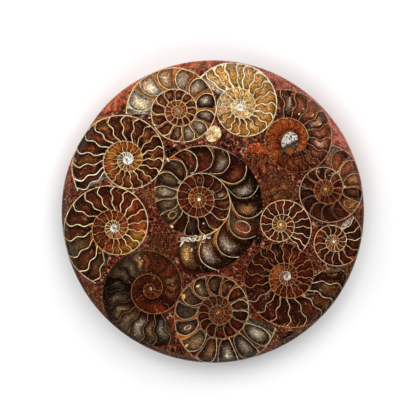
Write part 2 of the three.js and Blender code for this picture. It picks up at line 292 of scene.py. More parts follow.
# Where two overlap, the earlier one lies on top.
AMMONITES = [
    ammonite(
        "top_left_ammonite", centre=(-16.3, 48.2), reach=24.4, mouth=184, growth=2.07, last_growth=1.76,
        lead=4, oval=1.022, oval_direction=-20,
        septa=[3, 33, 62, 90.5, 119, 149, 181, 208, 238, 265, 294, 323, 353, 383, 411, 445, 474,
               502],
        spacing=27.5, turn=0.44, hook=3,
        round="0 2.4 0.86, 290 2.4 0.88, 350 2.3 0.9, 640 2.6 0.93",
        shape="200 0 11 10, 240 0 -4 10, 320 0 -5 12, 350 0 -5 13, 420 0 -4 11, 720 0 -5 6",
        fill="2 slate silver slate slate pearl, 18 bone bone silver ochre, 47 bone silver blush honey, "
        "75 slate dun dun amber honey, 104 slate slate dun amber, 134 slate dun olive honey amber, "
        "164 slate bark bark honey amber, 192 slate bark umber ochre amber, 221 slate dun olive ochre, "
        "250 slate moss olive ochre amber, 280 olive umber umber ochre amber, "
        "308 umber bark umber amber ochre, 337 maroon bark umber amber ochre, "
        "367 umber bark umber amber ochre, 400 hazel umber umber amber, "
        "460 rose bark umber umber amber, 500 russet maroon umber honey, "
        "560 maroon soot maroon amber honey, 640 maroon soot brick amber honey, "
        "720 rust maroon amber amber ochre",
        shell="500 cream, 900 cream straw",
        wall=0.55, septum=0.42, foot=1.6, spark=0.1, heart=1, core=0.85, glint=1, outline=0.3,
        ragged=0.35, hub="silver",
    ),
    ammonite(
        "top_ammonite", centre=(13.4, 50.2), reach=23, mouth=145, growth=2.62, last_growth=1.84, lead=6,
        bow=1, oval=1.023, oval_direction=-40,
        septa=[7.5, 20.5, 36, 52.5, 64, 84, 102, 121, 140, 160, 180, 200, 220, 241, 262, 285,
               306, 326, 347, 371, 395, 419, 442],
        spacing=24, star=(780, 1.5),
        round="0 4 0.95",
        shape="0 2.5 2 3, 60 3 2 2, 110 5 2 4, 720 5 -2 3",
        fill="4 silver silver dun bone, 14 ochre ochre tan cream, 44 ochre ochre gold cream bone, "
        "74 ochre gold tan straw cream, 112 ochre ochre tan straw bone, 150 ochre tan ochre cream tan, "
        "200 ochre umber ochre cream tan, 250 ochre umber ochre cream tan, "
        "296 ochre ochre tan cream tan, 336 tan tan bone cream tan, 383 tan ochre straw straw bone, "
        "454 ochre ochre straw cream straw, 526 tan tan straw cream, 620 tan gold straw cream, "
        "700 tan gold straw cream, 770 ochre ochre tan cream, 900 ochre tan bone cream ivory, "
        "1000 pearl pearl snow",
        shell="0 ivory, 200 cream, 500 cream, 800 ivory, 980 snow",
        wall=0.6, septum=0.55, foot=1.2, spark=0.6, heart=0.3, glint=0.3, spot=0.25, hub="silver",
    ),
    ammonite(
        "upper_right_ammonite", centre=(37.7, 34.7), reach=24.1, mouth=104, growth=2.49,
        last_growth=2.13, lead=10, bow=-3, oval=1.037, oval_direction=-46,
        septa=[5.5, 24, 44, 63, 83, 104, 125, 146, 166, 189, 212, 234, 256, 277, 300, 322, 344],
        spacing=24, walls_to=478, plug=(37.1, 32.9, 3.95, 5.3),
        round="0 4 0.95",
        shape="0 3 -9 -2, 200 4 -9 -3, 720 4 -6 0",
        fill="3 umber umber umber amber umber, 15 slate bark umber umber amber, "
        "34 rose umber russet umber amber, 54 rose umber rose umber amber, "
        "73 blush umber russet russet amber, 94 rose umber rose umber amber, "
        "114 blush umber rose umber rust, 136 rose umber russet umber rust, "
        "178 umber maroon umber umber rust, 223 umber maroon rust maroon rust, "
        "245 rust brick amber umber honey, 333 rust rust amber russet honey, "
        "404 rust brick amber russet amber, 476 amber brick amber russet honey, "
        "548 amber rust amber russet honey",
        shell="120 blush, 180 rose, 230 dun rose, 300 tan amber, 420 bone amber, 900 cream rust",
        # some of these pale patches are painted sparkle highlights
        marks="14 0.62 0.35 1.9 0 silver, 19 0.35 0.3 1.2 0 slate, 37 0.5 0.5 0.5 0 blush, "
        "33 0.25 0.3 0.5 0 cream, 56 0.55 0.35 1 0 straw, 75 0.6 0.4 1.1 0 bone, "
        "93 0.45 0.3 0.8 0 blush, 116 0.6 0.4 0.5 0 blush",
        wall=0.45, septum=0.4, spark=0.6, heart=0.6, glint=1, rim=0.7, silt=False, hub="silver",
    ),
    ammonite(
        "left_ammonite", centre=(-47, -7.5), reach=28, mouth=252, growth=2.46, last_growth=2.02, lead=9,
        septa=[1, 17.5, 37, 58, 77, 99, 119.5, 139.5, 160, 180.5, 200, 221, 242, 262.5, 285.5,
               306, 328, 347, 370, 392, 415, 440, 464, 490, 515],
        spacing=25, star=(760, 1.5),
        round="0 4 0.96",
        shape="0 4 7 3, 190 4 6 3, 210 2.5 0 1, 270 4 -4 0, 720 2 -6 0",
        fill="0.5 mud mud mud olive mud, 9 olive bark umber amber umber, "
        "27 russet bark umber amber umber, 48 olive umber moss amber umber, "
        "68 umber bark umber amber umber, 109 russet bark umber amber umber, "
        "130 umber plum umber amber umber, 150 maroon maroon maroon amber umber, "
        "190 maroon maroon brick amber, 232 brick brick rust honey amber, 252 umber brick amber honey, "
        "274 ochre umber ochre honey, 296 umber umber ochre honey ochre, "
        "338 umber umber amber honey ochre, 358 brick maroon amber, 381 brick brick brick umber, "
        "500 brick brick brick umber, 578 rust brick rust umber amber, "
        "628 amber amber amber umber honey, 702 hazel hazel amber amber honey, "
        "760 umber umber ochre cream straw, 800 bark bark amber umber honey, "
        "960 bark bark umber dun bone, 1060 slate bone snow",
        shell="0 bone cream, 180 cream, 300 cream, 380 straw tan, 560 tan straw, 640 cream, 1000 cream, "
        "1080 snow",
        wall=0.5, septum=0.5, spark=0.4, heart=0.35, rim=0.7, vein=0.7, hub="slate",
    ),
    ammonite(
        "upper_left_ammonite", centre=(-40.7, 25), reach=27.6, mouth=213, growth=2.52, last_growth=2,
        lead=10, oval=1.015, oval_direction=5,
        septa=[0, 10.5, 27, 44, 63, 80, 99, 117.5, 136, 155, 174, 193, 214, 234, 254, 274, 295.5,
               316, 337.5, 359, 379, 399, 420, 442, 464, 486, 509],
        spacing=22.5, star=(800, 1.8),
        round="0 4 0.96",
        shape="0 4 5 3, 200 4.5 4 3, 320 4 -3 0, 720 3 -4 0",
        fill="0 slate silver olive silver olive, 5 umber umber bark amber umber, "
        "19 rust bark umber amber, 36 ochre umber umber amber honey, 54 rust bark umber amber honey, "
        "90 russet bark umber honey, 127 rust bark umber amber, 164 umber bark umber amber, "
        "204 umber bark umber honey amber, 285 rust bark umber honey amber, 348 rust umber amber honey, "
        "369 rust umber amber honey, 410 amber umber ochre honey, 500 amber umber amber honey ochre, "
        "565 umber umber amber honey straw, 633 umber umber amber honey straw, "
        "700 umber umber honey bone cream, 735 umber bark tan cream, 790 bark bark umber bone pearl, "
        "860 umber mud bone ivory snow, 960 slate silver snow",
        shell="0 cream ivory, 150 cream, 300 cream, 380 cream straw, 620 straw, 690 cream, 790 ivory, "
        "900 snow",
        wall=0.5, septum=0.5, spark=0.6, heart=0.35, rim=0.8, vein=0.8, hub="slate",
    ),
    ammonite(
        "small_inner_ammonite", centre=(32.8, -6.2), reach=15.8, mouth=-48, coil=-1, growth=2.38,
        last_growth=2.06, lead=8,
        septa=[-1, 10, 26, 45.5, 64.5, 85.5, 109, 132, 155, 180, 202, 227, 254, 279, 305, 328,
               354, 375, 401, 429, 455],
        spacing=26,
        round="0 1.7 0.95",
        shape="0 3 -9 -3, 250 3 -6 0, 720 1.5 -5 2",
        fill="-1 umber umber umber amber umber, 4 maroon plum maroon umber, "
        "36 maroon plum maroon umber, 144 brick plum brick umber, 191 maroon plum brick umber, "
        "316 maroon plum brick umber, 364 brick maroon russet umber amber, "
        "415 maroon maroon umber umber amber, 520 umber maroon umber umber amber, "
        "598 russet umber russet umber honey, 700 russet umber honey umber honey",
        shell="0 bone cream, 250 cream, 400 cream, 800 cream straw",
        wall=0.42, septum=0.36, spark=0.2, heart=0.25, hub="pearl",
    ),
    ammonite(
        "right_ammonite", centre=(54.1, 10.8), reach=21, mouth=82, growth=2.37, last_growth=1.75,
        lead=12, oval=0.982, oval_direction=6,
        septa=[3.5, 28, 52, 77, 102.5, 127, 156, 183.5, 211, 240, 265, 293.5, 320, 350, 379, 406,
               434, 460],
        spacing=26, turn=0.45, hook=3,
        round="0 2.4 0.9",
        shape="0 0 12 14, 28 0 11 11, 52 0 11 11, 77 0 2 9, 102 0 -8 0, 127 0 -8 -2, 156 0 -18 -10, "
        "184 0 -15 -6, 211 0 -18 -7, 240 0 -13 -4, 265 0 -12 6, 294 0 8 10, 350 0 10 12, 400 0 5 9, "
        "720 0 -2 2",
        fill="1 dun dun slate amber slate, 15 rose amber plum tan rose, 39 rose rose rose umber amber, "
        "64 dun umber rose tan amber, 90 rose umber plum umber, 115 umber umber dun umber amber, "
        "142 umber plum umber, 170 bark bark plum umber, 253 plum bark bark umber, "
        "280 bark plum bark amber umber, 336 bark bark bark amber umber, 364 plum plum plum amber tan, "
        "392 rose plum umber rose honey, 420 maroon maroon maroon umber amber, "
        "500 maroon maroon brick umber amber, 640 maroon maroon brick umber amber, "
        "760 brick brick brick umber amber",
        shell="0 blush, 120 bone blush, 160 blush rose, 280 bone blush, 360 bone, 480 tan rose, 800 tan",
        marks="115 0.5 1.3 2 0.3 tan, 27 0.07 0.3 0.5 0 bone, 75 0.07 0.5 0.4 0 pearl, "
        "374 0.7 0.25 0.5 0 silver, 368 0.45 0.5 0.2 0 silver, 331 0.7 0.25 0.2 0 silver",
        wall=0.45, septum=0.42, foot=1.5, spark=0.1, heart=0.7, outline=0.15, ragged=0.4, hub="tan",
    ),
    ammonite(
        "lower_right_ammonite", centre=(35.4, -30.9), reach=29.1, mouth=8, growth=2.53,
        last_growth=1.88, lead=-2, bow=3,
        septa=[2, 18, 37, 55, 75, 95, 115, 134, 152.5, 174, 194, 212.5, 232, 251, 272, 292, 310,
               331, 351, 372, 391, 412, 435, 459, 481, 500, 520],
        spacing=22, star=(800, 1.2),
        round="0 4 0.96",
        shape="0 4 4 4, 100 4 2 4, 130 4.5 -3 3, 300 3.5 -3 2, 720 2.5 -6 0",
        fill="1 moss moss moss umber, 10 bark bark bark amber umber, 28 hazel bark umber bone umber, "
        "65 umber bark umber amber umber, 85 plum bark plum umber amber, 143 bark bark maroon umber, "
        "203 umber bark maroon umber, 262 bark bark bark umber, 301 brick maroon maroon amber umber, "
        "341 maroon maroon maroon umber, 400 maroon maroon maroon umber amber, "
        "490 maroon maroon brick umber ochre, 531 rust russet rust amber ochre, "
        "575 amber hazel amber amber ochre, 619 russet russet umber, "
        "751 russet umber brick umber amber, 1000 brick maroon rust umber amber, "
        "1080 slate silver pearl bone ivory",
        shell="0 dun bone, 100 tan bone, 180 olive tan, 280 olive tan, 340 dun tan, 400 tan, 700 tan, "
        "900 bone, 1040 snow",
        marks="0.5 0.62 0.75 4.6 0 olive, 3.5 0.95 1.2 0.8 0 moss",
        wall=0.45, septum=0.4, spark=0.45, heart=0.3, hub="slate",
    ),
    ammonite(
        "lower_left_ammonite", centre=(-29.5, -37), reach=28.2, mouth=293, growth=2.72, last_growth=1.8,
        lead=7, bow=1,
        septa=[3, 19, 34, 54, 72, 91, 112.5, 134, 154, 175, 191, 205, 222, 242, 262, 284, 302],
        spacing=24,
        round="0 4 0.95",
        shape="0 3.5 -4 2, 100 4.5 -8 2, 330 4 -9 0",
        fill="2 mud mud moss mud, 11 slate soot mud mud soot, 26 olive bark mud bark mud, "
        "44 slate bark moss bark mud, 62 olive mud moss umber, 82 olive bark mud bark soot, "
        "101 moss mud bark bark soot, 123 mud soot, 144 moss bark mud soot bark, "
        "164 moss moss mud umber, 183 dun mud olive umber, 198 russet umber umber bark umber, "
        "214 umber, 252 umber umber umber bark maroon, 273 olive umber, 292 hazel umber, "
        "314 umber umber umber bark, 338 bark bark bark bark brick, 362 maroon bark rust bark orange, "
        "420 maroon maroon brick bark rust, 482 bark bark umber, 600 maroon bark umber, "
        "700 maroon bark brick umber ochre",
        shell="60 bark dun, 100 bark moss, 190 dun umber, 300 dun umber, 330 tan maroon, 420 tan brick, "
        "700 tan rust",
        marks="10 0.5 0.4 0.3 0 pearl, 42 0.8 0.4 0.25 0 silver, 82 0.58 0.8 0.2 0 silver, "
        "184 0.72 0.4 0.3 0 pearl, 187 0.58 0.3 0.5 0 silver, 179 0.6 0.25 0.9 0 dun, "
        "281 0.52 0.4 0.25 0 silver, 300 0.4 1.6 2 0.35 olive, 272 0.35 0.5 1.4 0 olive",
        wall=0.4, septum=0.38, spark=0.1, heart=0.6, core=0.9, glint=1.1, stretch=3.5, hub="silver",
    ),
    ammonite(
        "bottom_ammonite", centre=(2.9, -48.3), reach=28.8, mouth=-14, growth=2.22, last_growth=1.79,
        lead=8, oval=0.984, oval_direction=3,
        septa=[4, 27.5, 52, 79, 103, 129.5, 155, 181, 206, 234, 263, 287.5, 314, 340, 366, 392,
               419, 447, 475, 502, 529, 557],
        spacing=27, turn=0.44, hook=3,
        round="0 2.1 0.87, 120 2.3 0.9, 300 2.4 0.9, 380 3 0.96",
        shape="0 0 1 8, 20 0 0 1, 52 0 0 1, 79 0 1 8, 103 0 3 13, 130 0 10 12, 155 0 14 12, "
        "181 0 16 12, 206 0 14 15, 234 0 14 14, 263 0 6 14, 288 0 5 9, 314 0 -2 16, 340 0 -4 5, "
        "366 0 -12 1, 500 0 -8 -2, 720 0 -4 -2",
        fill="2 olive moss moss olive, 16 silver moss moss umber, 39 slate mud mud umber, "
        "64 slate bark mud umber, 90 olive umber plum umber, 116 olive moss olive amber honey, "
        "142 olive mud mud amber, 167 mud moss mud umber, 192 mud soot olive amber, "
        "218 olive mud bark umber, 246 moss bark umber amber umber, 274 mud bark bark amber, "
        "300 umber bark umber umber amber, 326 bark bark mud amber umber, 352 bark bark bark umber, "
        "379 maroon plum maroon umber amber, 500 maroon bark maroon umber, "
        "624 umber plum umber maroon umber, 720 brick umber brick maroon ochre",
        shell="0 bone, 130 tan bone, 260 tan, 310 bone cream, 340 bone cream, 370 tan dun, 450 dun",
        marks="141 0.5 0.9 1.6 0.35 bone, 116 0.5 2.4 1.3 0.3 olive, 190 0.84 1.4 0.9 0 straw, "
        "121 0.88 0.5 1 0 straw, 64 0.62 0.5 0.8 0 pearl, 218 0.7 0.8 0.6 0 pearl",
        wall=0.42, septum=0.35, foot=1.4, spark=0.15, heart=0.9, core=0.85, glint=1, outline=0.35,
        ragged=0.3, hub="tan",
    ),
    ammonite(
        "large_centre_ammonite", centre=(-6.3, 6.1), reach=36.1, mouth=-101, coil=-1, growth=2.09,
        last_growth=1.86, lead=15, bow=4, oval=0.987, oval_direction=44,
        septa=[10.4, 32, 56, 79.5, 103, 125, 148.5, 170.5, 193, 214, 237.5, 260.5, 281.5, 302,
               324, 345, 369, 390, 414, 437, 462, 485, 510, 536, 562],
        spacing=25, turn=0.44, hook=3.5,
        round="0 2.4 0.9, 380 2.8 0.96",
        shape="0 0 14 14, 32 0 18 14, 56 0 22 13, 103 0 25 12, 170 0 23 12, 193 0 14 14, 214 0 8 16, "
        "238 0 5 13, 262 0 -5 7, 302 0 -9 2, 345 0 -8 4, 369 0 -5 12, 437 0 -1 14, 540 0 -2 13, "
        "600 0 -3 11, 638 0 -3 4",
        fill="3 gold moss umber amber soot, 21 slate umber bark ochre soot, "
        "44 slate umber bark amber soot, 68 russet moss umber amber soot, 91 dun bark bark umber soot, "
        "114 slate bark bark ochre soot, 137 russet bark maroon umber bark, "
        "160 slate umber umber umber dun, 182 umber rust bark umber, 204 umber bark bark dun amber, "
        "226 mud bark mud dun amber, 249 olive mud mud dun umber, 271 slate moss moss dun, "
        "292 olive moss mud dun umber, 313 mud moss moss dun amber, 334 bark bark bark umber amber, "
        "357 mud bark bark amber ochre, 380 bark bark bark umber ochre, "
        "402 plum plum umber umber ochre, 450 maroon bark umber umber ochre, 474 olive bark umber, "
        "498 umber bark umber, 530 maroon bark maroon umber amber, 560 maroon umber umber umber ochre, "
        "624 maroon maroon umber maroon amber, 750 maroon maroon brick umber amber, "
        "860 brick maroon brick rust honey",
        shell="0 umber pearl, 25 bark pearl, 145 bark pearl, 170 bone pearl, 235 tan pearl, "
        "300 umber pearl, 345 dun pearl, 372 cream pearl, 400 cream bone, 520 cream blush, "
        "760 bone blush, 1000 straw",
        marks="2 0.36 0.35 0.8 0 pearl, 6 0.3 0.3 0.5 0 silver, 69 0.54 2.6 3.6 0.28 bone, "
        "312 0.5 1.5 1.9 0.4 tan, 472 0.5 0.4 1 0.3 silver, 488 0.1 1.3 0.8 0 slate, "
        "381 0.37 0.5 0.4 0 bone, 113 0.55 0.6 0.9 0 silver, 229 1 0.5 0.9 0 ivory, "
        "326 0.92 0.9 0.4 0 ivory, 221 0.93 0.5 0.8 0 orange, 548 0.45 1 1.3 0.25 dun, "
        "205 0.07 1 0.4 0 silver, 240 0.1 0.9 0.5 0 silver",
        wall=0.55, septum=0.34, foot=2.2, spark=0.3, heart=0.9, core=0.75, glint=1, halo=0.2,
        ragged=0.4, silt=False, hub="ivory",
    ),
    ammonite(
        "small_right_ammonite", centre=(57.9, -14), reach=15.3, mouth=53, growth=2.54, last_growth=1.86,
        lead=14, oval=1.015, oval_direction=-58,
        septa=[9, 27.5, 50, 76, 102, 126, 150, 175, 201, 227, 255, 280, 309, 337, 365, 390, 416,
               444],
        spacing=26,
        round="0 1.7 0.95",
        shape="0 2.2 -9 -6, 250 3 -8 -4, 720 1 -5 0",
        fill="4 pearl silver slate bone slate, 18 maroon plum plum umber, 63 plum plum plum umber, "
        "89 plum plum maroon amber, 138 maroon plum maroon umber maroon, 188 maroon plum brick umber, "
        "214 brick plum brick umber amber, 268 maroon plum rust umber amber, 294 maroon bark umber, "
        "323 maroon bark umber, 351 umber umber umber umber amber, 430 umber umber umber umber amber, "
        "535 russet umber amber umber ochre, 613 russet umber russet umber honey, "
        "769 dun russet dun amber",
        shell="0 blush cream, 150 bone, 280 cream bone, 500 cream, 800 bone",
        wall=0.4, septum=0.36, spark=0.25, heart=0.25, hub="pearl",
    ),
]

# Broken bits, by the CAD node each stands for: how many times its corners are rounded off,
# its tones from deep to pale, the size of its mottling in mm, and the stretch and direction of
# its streaks.
FRAGMENTS = {
    "cream_pebble": (2, "tan cream cream", 2.4, 1.0, 0),
    "smooth_shell_fragment": (2, "umber russet ochre", 3.0, 0.8, 20),
    "veined_shell_fragment": (1, "bark cinnamon honey", 1.1, 0.2, 80),
    "orange_shell_fragment": (1, "rust orange peach", 1.8, 0.6, 30),
    "holed_shell_fragment": (1, "maroon brick slate", 1.2, 1.0, 0),
    "streaked_shell_fragment": (1, "bark russet ochre", 0.8, 0.22, 95),
    "ribbed_shell_fragment": (1, "umber hazel tan", 0.8, 0.3, 0),
    "dark_polygon_chip": (0, "soot bark ochre", 0.8, 0.35, 50),
    "dark_chip_by_pebble": (0, "soot plum brick", 0.9, 1.0, 0),
    "dark_chip_below_pebble": (0, "soot plum brick", 0.9, 1.0, 0),
    "dark_chip_near_centre": (0, "soot bark maroon", 1.0, 1.0, 0),
    "slate_sliver": (1, "soot bark umber", 0.8, 0.5, 90),
    "bottom_shell_fragment": (1, "bark umber bone", 0.7, 0.4, 80),
    "bottom_round_chip": (2, "soot soot maroon", 0.8, 1.0, 0),
    "dark_shell_fragment": (1, "soot bark olive", 1.0, 0.4, 25),
    "black_chip": (1, "soot soot bark", 0.8, 1.0, 0),
    "top_shell_sliver": (1, "bark ochre tan", 0.7, 0.3, 0),
}

# Small chips loose in the stone: how many there are, how far out they lie as a share of the
# plate's area, their usual size in mm, how it differs, and their tones.
CHIP_SEED = "chips"
CHIP_COUNT = 260
CHIP_AREA = 0.86
CHIP_SIZE = 0.75
CHIP_SPREAD = 0.45
CHIP_CORNERS = (4, 7)
CHIP_REACHES = (0.55, 1.15)
CHIP_NARROWEST = 0.5
CHIP_ROOM = (0.6, 0.9)  # clear of shells and of fragments, as shares of the chip's size
CHIP_TONES = ("umber", "umber", "bark", "bark", "soot", "soot", "amber", "rust", "umber", "dun",
              "rose", "blush", "maroon", "brick", "mud", "maroon", "plum")

# White crystal curls below the large shell's second whorl: x and y on the plate, the curl's
# size in mm, and where it starts and how far it runs, in degrees. A splinter lies beside them.
CRUSTED = "large_centre_ammonite"
CRUST_STRANDS = 2
CRUST_CURLS = (
    (-14.6, -12.4, 0.9, 160, 200), (-13.4, -12.9, 1.0, 20, 240), (-12.2, -12.3, 0.9, 190, 190),
    (-11.1, -12.9, 1.0, 0, 260), (-9.9, -12.5, 0.9, 150, 220), (-8.8, -13.0, 0.8, 200, 240),
    (-7.6, -12.5, 0.9, 20, 220), (-6.5, -12.8, 0.8, 180, 230), (-5.4, -12.4, 0.8, 60, 240),
    (-4.3, -12.7, 0.8, 200, 200), (-3.2, -12.1, 0.7, 20, 240), (-2.1, -11.7, 0.7, 180, 180),
)
CURL_POINTS = 12
CURL_TURN = 60  # degrees by which a strand may start late or early
CURL_SIZES = (0.6, 1.3)
CURL_SHIFT = ((0, 0.3), (-0.3, 0.4))  # of its middle, across and up: the usual, and the spread
CURL_WIDTHS = (0.24, 0.4)
CURL_TONES = ("snow", "ivory", "pearl")
CURL_END = 0.25  # how far into its bulge a strand starts, in radians
SPLINTER = ((-13.0, -12.9), (-15.5, -16.6))
SPLINTER_WIDTH = 0.75

# ---- what a user would change --------------------------------------------------------------


def colour_property(label, words, name):
    """A colour property that starts from a named tone."""
    return bpy.props.FloatVectorProperty(
        name=label, description=words, subtype="COLOR", size=3, min=0, max=1, default=linear(name))


def length_property(label, words, usual, least, most):
    """A length property, told in millimetres."""
    return bpy.props.FloatProperty(
        name=label, description=words, unit="LENGTH", default=usual * MM, min=least * MM,
        max=most * MM)


def angle_property(label, words, usual, least, most):
    """An angle property, told in degrees."""
    return bpy.props.FloatProperty(
        name=label, description=words, subtype="ANGLE", default=math.radians(usual),
        min=math.radians(least), max=math.radians(most))


def share_property(label, words, usual):
    """A property that runs from 0 to 1."""
    return bpy.props.FloatProperty(
        name=label, description=words, subtype="FACTOR", default=usual, min=0, max=1)


class FossilStoneSettings(bpy.types.PropertyGroup):
    """The stone that the specimens are set in."""

    deep: colour_property("Deep stone", "Darkest colour of the stone between the specimens", "maroon")
    body: colour_property("Stone", "Main colour of the stone between the specimens", "brick")
    # the orange jasper by the rim: the stone's own colour, painted on one side only, as if lit from
    # behind there
    warm: colour_property("Jasper", "Smooth orange-red stone towards the rim", "orange")
    pale: colour_property("Pale grit", "Pink and cream bits in the stone", "blush")
    grit: length_property("Grit", "Size of the broken bits in the stone", 1.5, 0.2, 8)
    gloss: share_property("Roughness", "Roughness of the polished stone", 0.22)


class FossilShellSettings(bpy.types.PropertyGroup):
    """The ammonites' chambers and walls."""

    cell: length_property("Cell", "Size of the faces in a chamber's filling", 0.4, 0.1, 2)
    wall: bpy.props.FloatProperty(
        name="Wall scale", description="Scale of the thickness of all shell walls",
        default=0.72, min=0.2, max=3)
    proud: length_property("Proud", "How far a specimen stands out of the stone", 0.02, 0, 0.2)
    skin: length_property("Depth", "How deep a specimen's polished layer goes", 0.5, 0.1, 2)
    gloss: share_property("Roughness", "Roughness of the polished chambers", 0.16)


class FossilStageSettings(bpy.types.PropertyGroup):
    """The floor, the lights and the camera."""

    floor: colour_property("Floor", "Colour of the floor", "white")
    light: bpy.props.FloatProperty(
        name="Light", description="Power of the main lamp", unit="POWER", default=14.5, min=0,
        max=100)
    lean: angle_property("Lean", "How far the camera leans from straight above", 2.5, 0, 60)
    lean_to: angle_property("Lean direction", "Where the camera leans to, from +X", 35, -180, 180)


# ---- materials -----------------------------------------------------------------------------


class Socket:
    """An output of a finish's node. Arithmetic on it adds Math nodes."""

    def __init__(self, finish, socket):
        self.finish = finish
        self.socket = socket

    def beside(self, output):
        """Another output of the same node."""
        return Socket(self.finish, self.socket.node.outputs[output])

    def __add__(self, other):
        return self.finish.maths("ADD", self, other)

    def __sub__(self, other):
        return self.finish.maths("SUBTRACT", self, other)

    def __rsub__(self, other):
        return self.finish.maths("SUBTRACT", other, self)

    def __mul__(self, other):
        return self.finish.maths("MULTIPLY", self, other)

    __radd__ = __add__
    __rmul__ = __mul__


class Finish:
    """A material under construction, with short ways to add the nodes it needs."""

    def __init__(self, name, roughness, coat=COAT):
        self.material = bpy.data.materials.new(name)
        self.material.use_nodes = True
        self.tree = self.material.node_tree
        self.shader = self.tree.nodes["Principled BSDF"].inputs
        self.shader["Roughness"].default_value = roughness
        self.shader["Coat Weight"].default_value = coat
        self.shader["Coat Roughness"].default_value = COAT_ROUGHNESS
        self.shader["Specular IOR Level"].default_value = SPECULAR

    def node(self, kind, sockets, output=0, **settings):
        """Adds a node, its settings first, and gives one of its outputs."""
        made = self.tree.nodes.new("ShaderNode" + kind)
        for name, value in settings.items():
            setattr(made, name, value)
        for name, value in sockets.items():
            self.feed(made.inputs[name], value)
        return Socket(self, made.outputs[output])

    def feed(self, socket, value):
        """Links a socket to an output, or sets it."""
        if isinstance(value, Socket):
            self.tree.links.new(value.socket, socket)
        elif socket.type == "RGBA":
            socket.default_value = (*value, 1)
        else:
            socket.default_value = value

    def maths(self, operation, *values):
        return self.node("Math", dict(enumerate(values)), operation=operation)

    def vectors(self, operation, *values, output="Vector"):
        return self.node("VectorMath", dict(enumerate(values)), output, operation=operation)

    def fact(self, name, output="Fac"):
        """A number, or by its output a colour or a vector, held by the mesh."""
        return self.node("Attribute", {}, output, attribute_name=name)

    def place(self):
        """The point on the object, in millimetres."""
        return self.scaled(self.node("TexCoord", {}, "Object"), (1 / MM,) * 3)

    def scaled(self, vector, by):
        return self.vectors("MULTIPLY", vector, by)

    def turned(self, vector, degrees):
        sockets = {"Vector": vector, "Angle": math.radians(degrees)}
        return self.node("VectorRotate", sockets, rotation_type="Z_AXIS")

    def noise(self, vector, texture):
        """A cloudy texture, spread to run from about 0 to 1."""
        names = ("Scale", "Detail", "Roughness", "Distortion")
        cloudy = self.node("TexNoise", {"Vector": vector, **dict(zip(names, texture))}, "Fac")
        return self.ease(cloudy, *NOISE_RANGE, "LINEAR")

    def bent(self, vector, by, wobble):
        """The vector, pushed about by noise."""
        wobble = self.node("TexNoise", {"Vector": vector, **wobble}, "Color")
        return self.vectors("MULTIPLY_ADD", wobble, (by,) * 3, vector)

    def cells(self, vector, scale):
        """Voronoi cells: (distance from the middle, colour of the cell)."""
        distance = self.node("TexVoronoi", {"Vector": vector, "Scale": scale}, "Distance")
        return distance, distance.beside("Color")

    def ease(self, value, low, high, kind="SMOOTHSTEP"):
        """0 at low and 1 at high, eased between. High may be the smaller."""
        sockets = {"Value": value, "From Min": low, "From Max": high}
        return self.node("MapRange", sockets, interpolation_type=kind)

    def band(self, value, low, full, fade, high):
        """1 from full to fade, and 0 below low and above high."""
        return self.ease(value, low, full) * self.ease(value, high, fade)

    def grains(self, distance, cell, kind):
        """Picks some of the Voronoi cells, and fades them away from their middles."""
        index, chosen, reach = kind
        return self.ease(self.channel(cell, index), *chosen) * self.ease(distance, *reach)

    def mix(self, factor, low, high, **settings):
        """Mixes two colours."""
        return self.node("Mix", {0: factor, 6: low, 7: high}, 2, data_type="RGBA", **settings)

    def channel(self, colour, index):
        return self.node("SeparateColor", {"Color": colour}, index)

    def shade(self, colour, amount):
        """The colour made lighter or darker: amount 1 leaves it."""
        grey = self.node("CombineColor", dict.fromkeys(range(3), amount))
        return self.mix(1.0, colour, grey, blend_type="MULTIPLY")

    def bump(self, height, strength, distance):
        sockets = {"Height": height, "Strength": strength, "Distance": distance * MM}
        self.feed(self.shader["Normal"], self.node("Bump", sockets))

    def paint(self, colour):
        self.feed(self.shader["Base Color"], colour)
        return self.material

    def polish(self, colour):
        """Paints with the colour as polished: darks sink and pales hold."""
        deeper = self.node("Gamma", {"Color": colour, "Gamma": POLISH_POWER})
        deeper = self.mix(1.0, deeper, (POLISH_GAIN,) * 3, blend_type="MULTIPLY", clamp_result=True)
        sockets = {"Color": deeper, "Saturation": POLISH_SATURATION}
        return self.paint(self.node("HueSaturation", sockets))


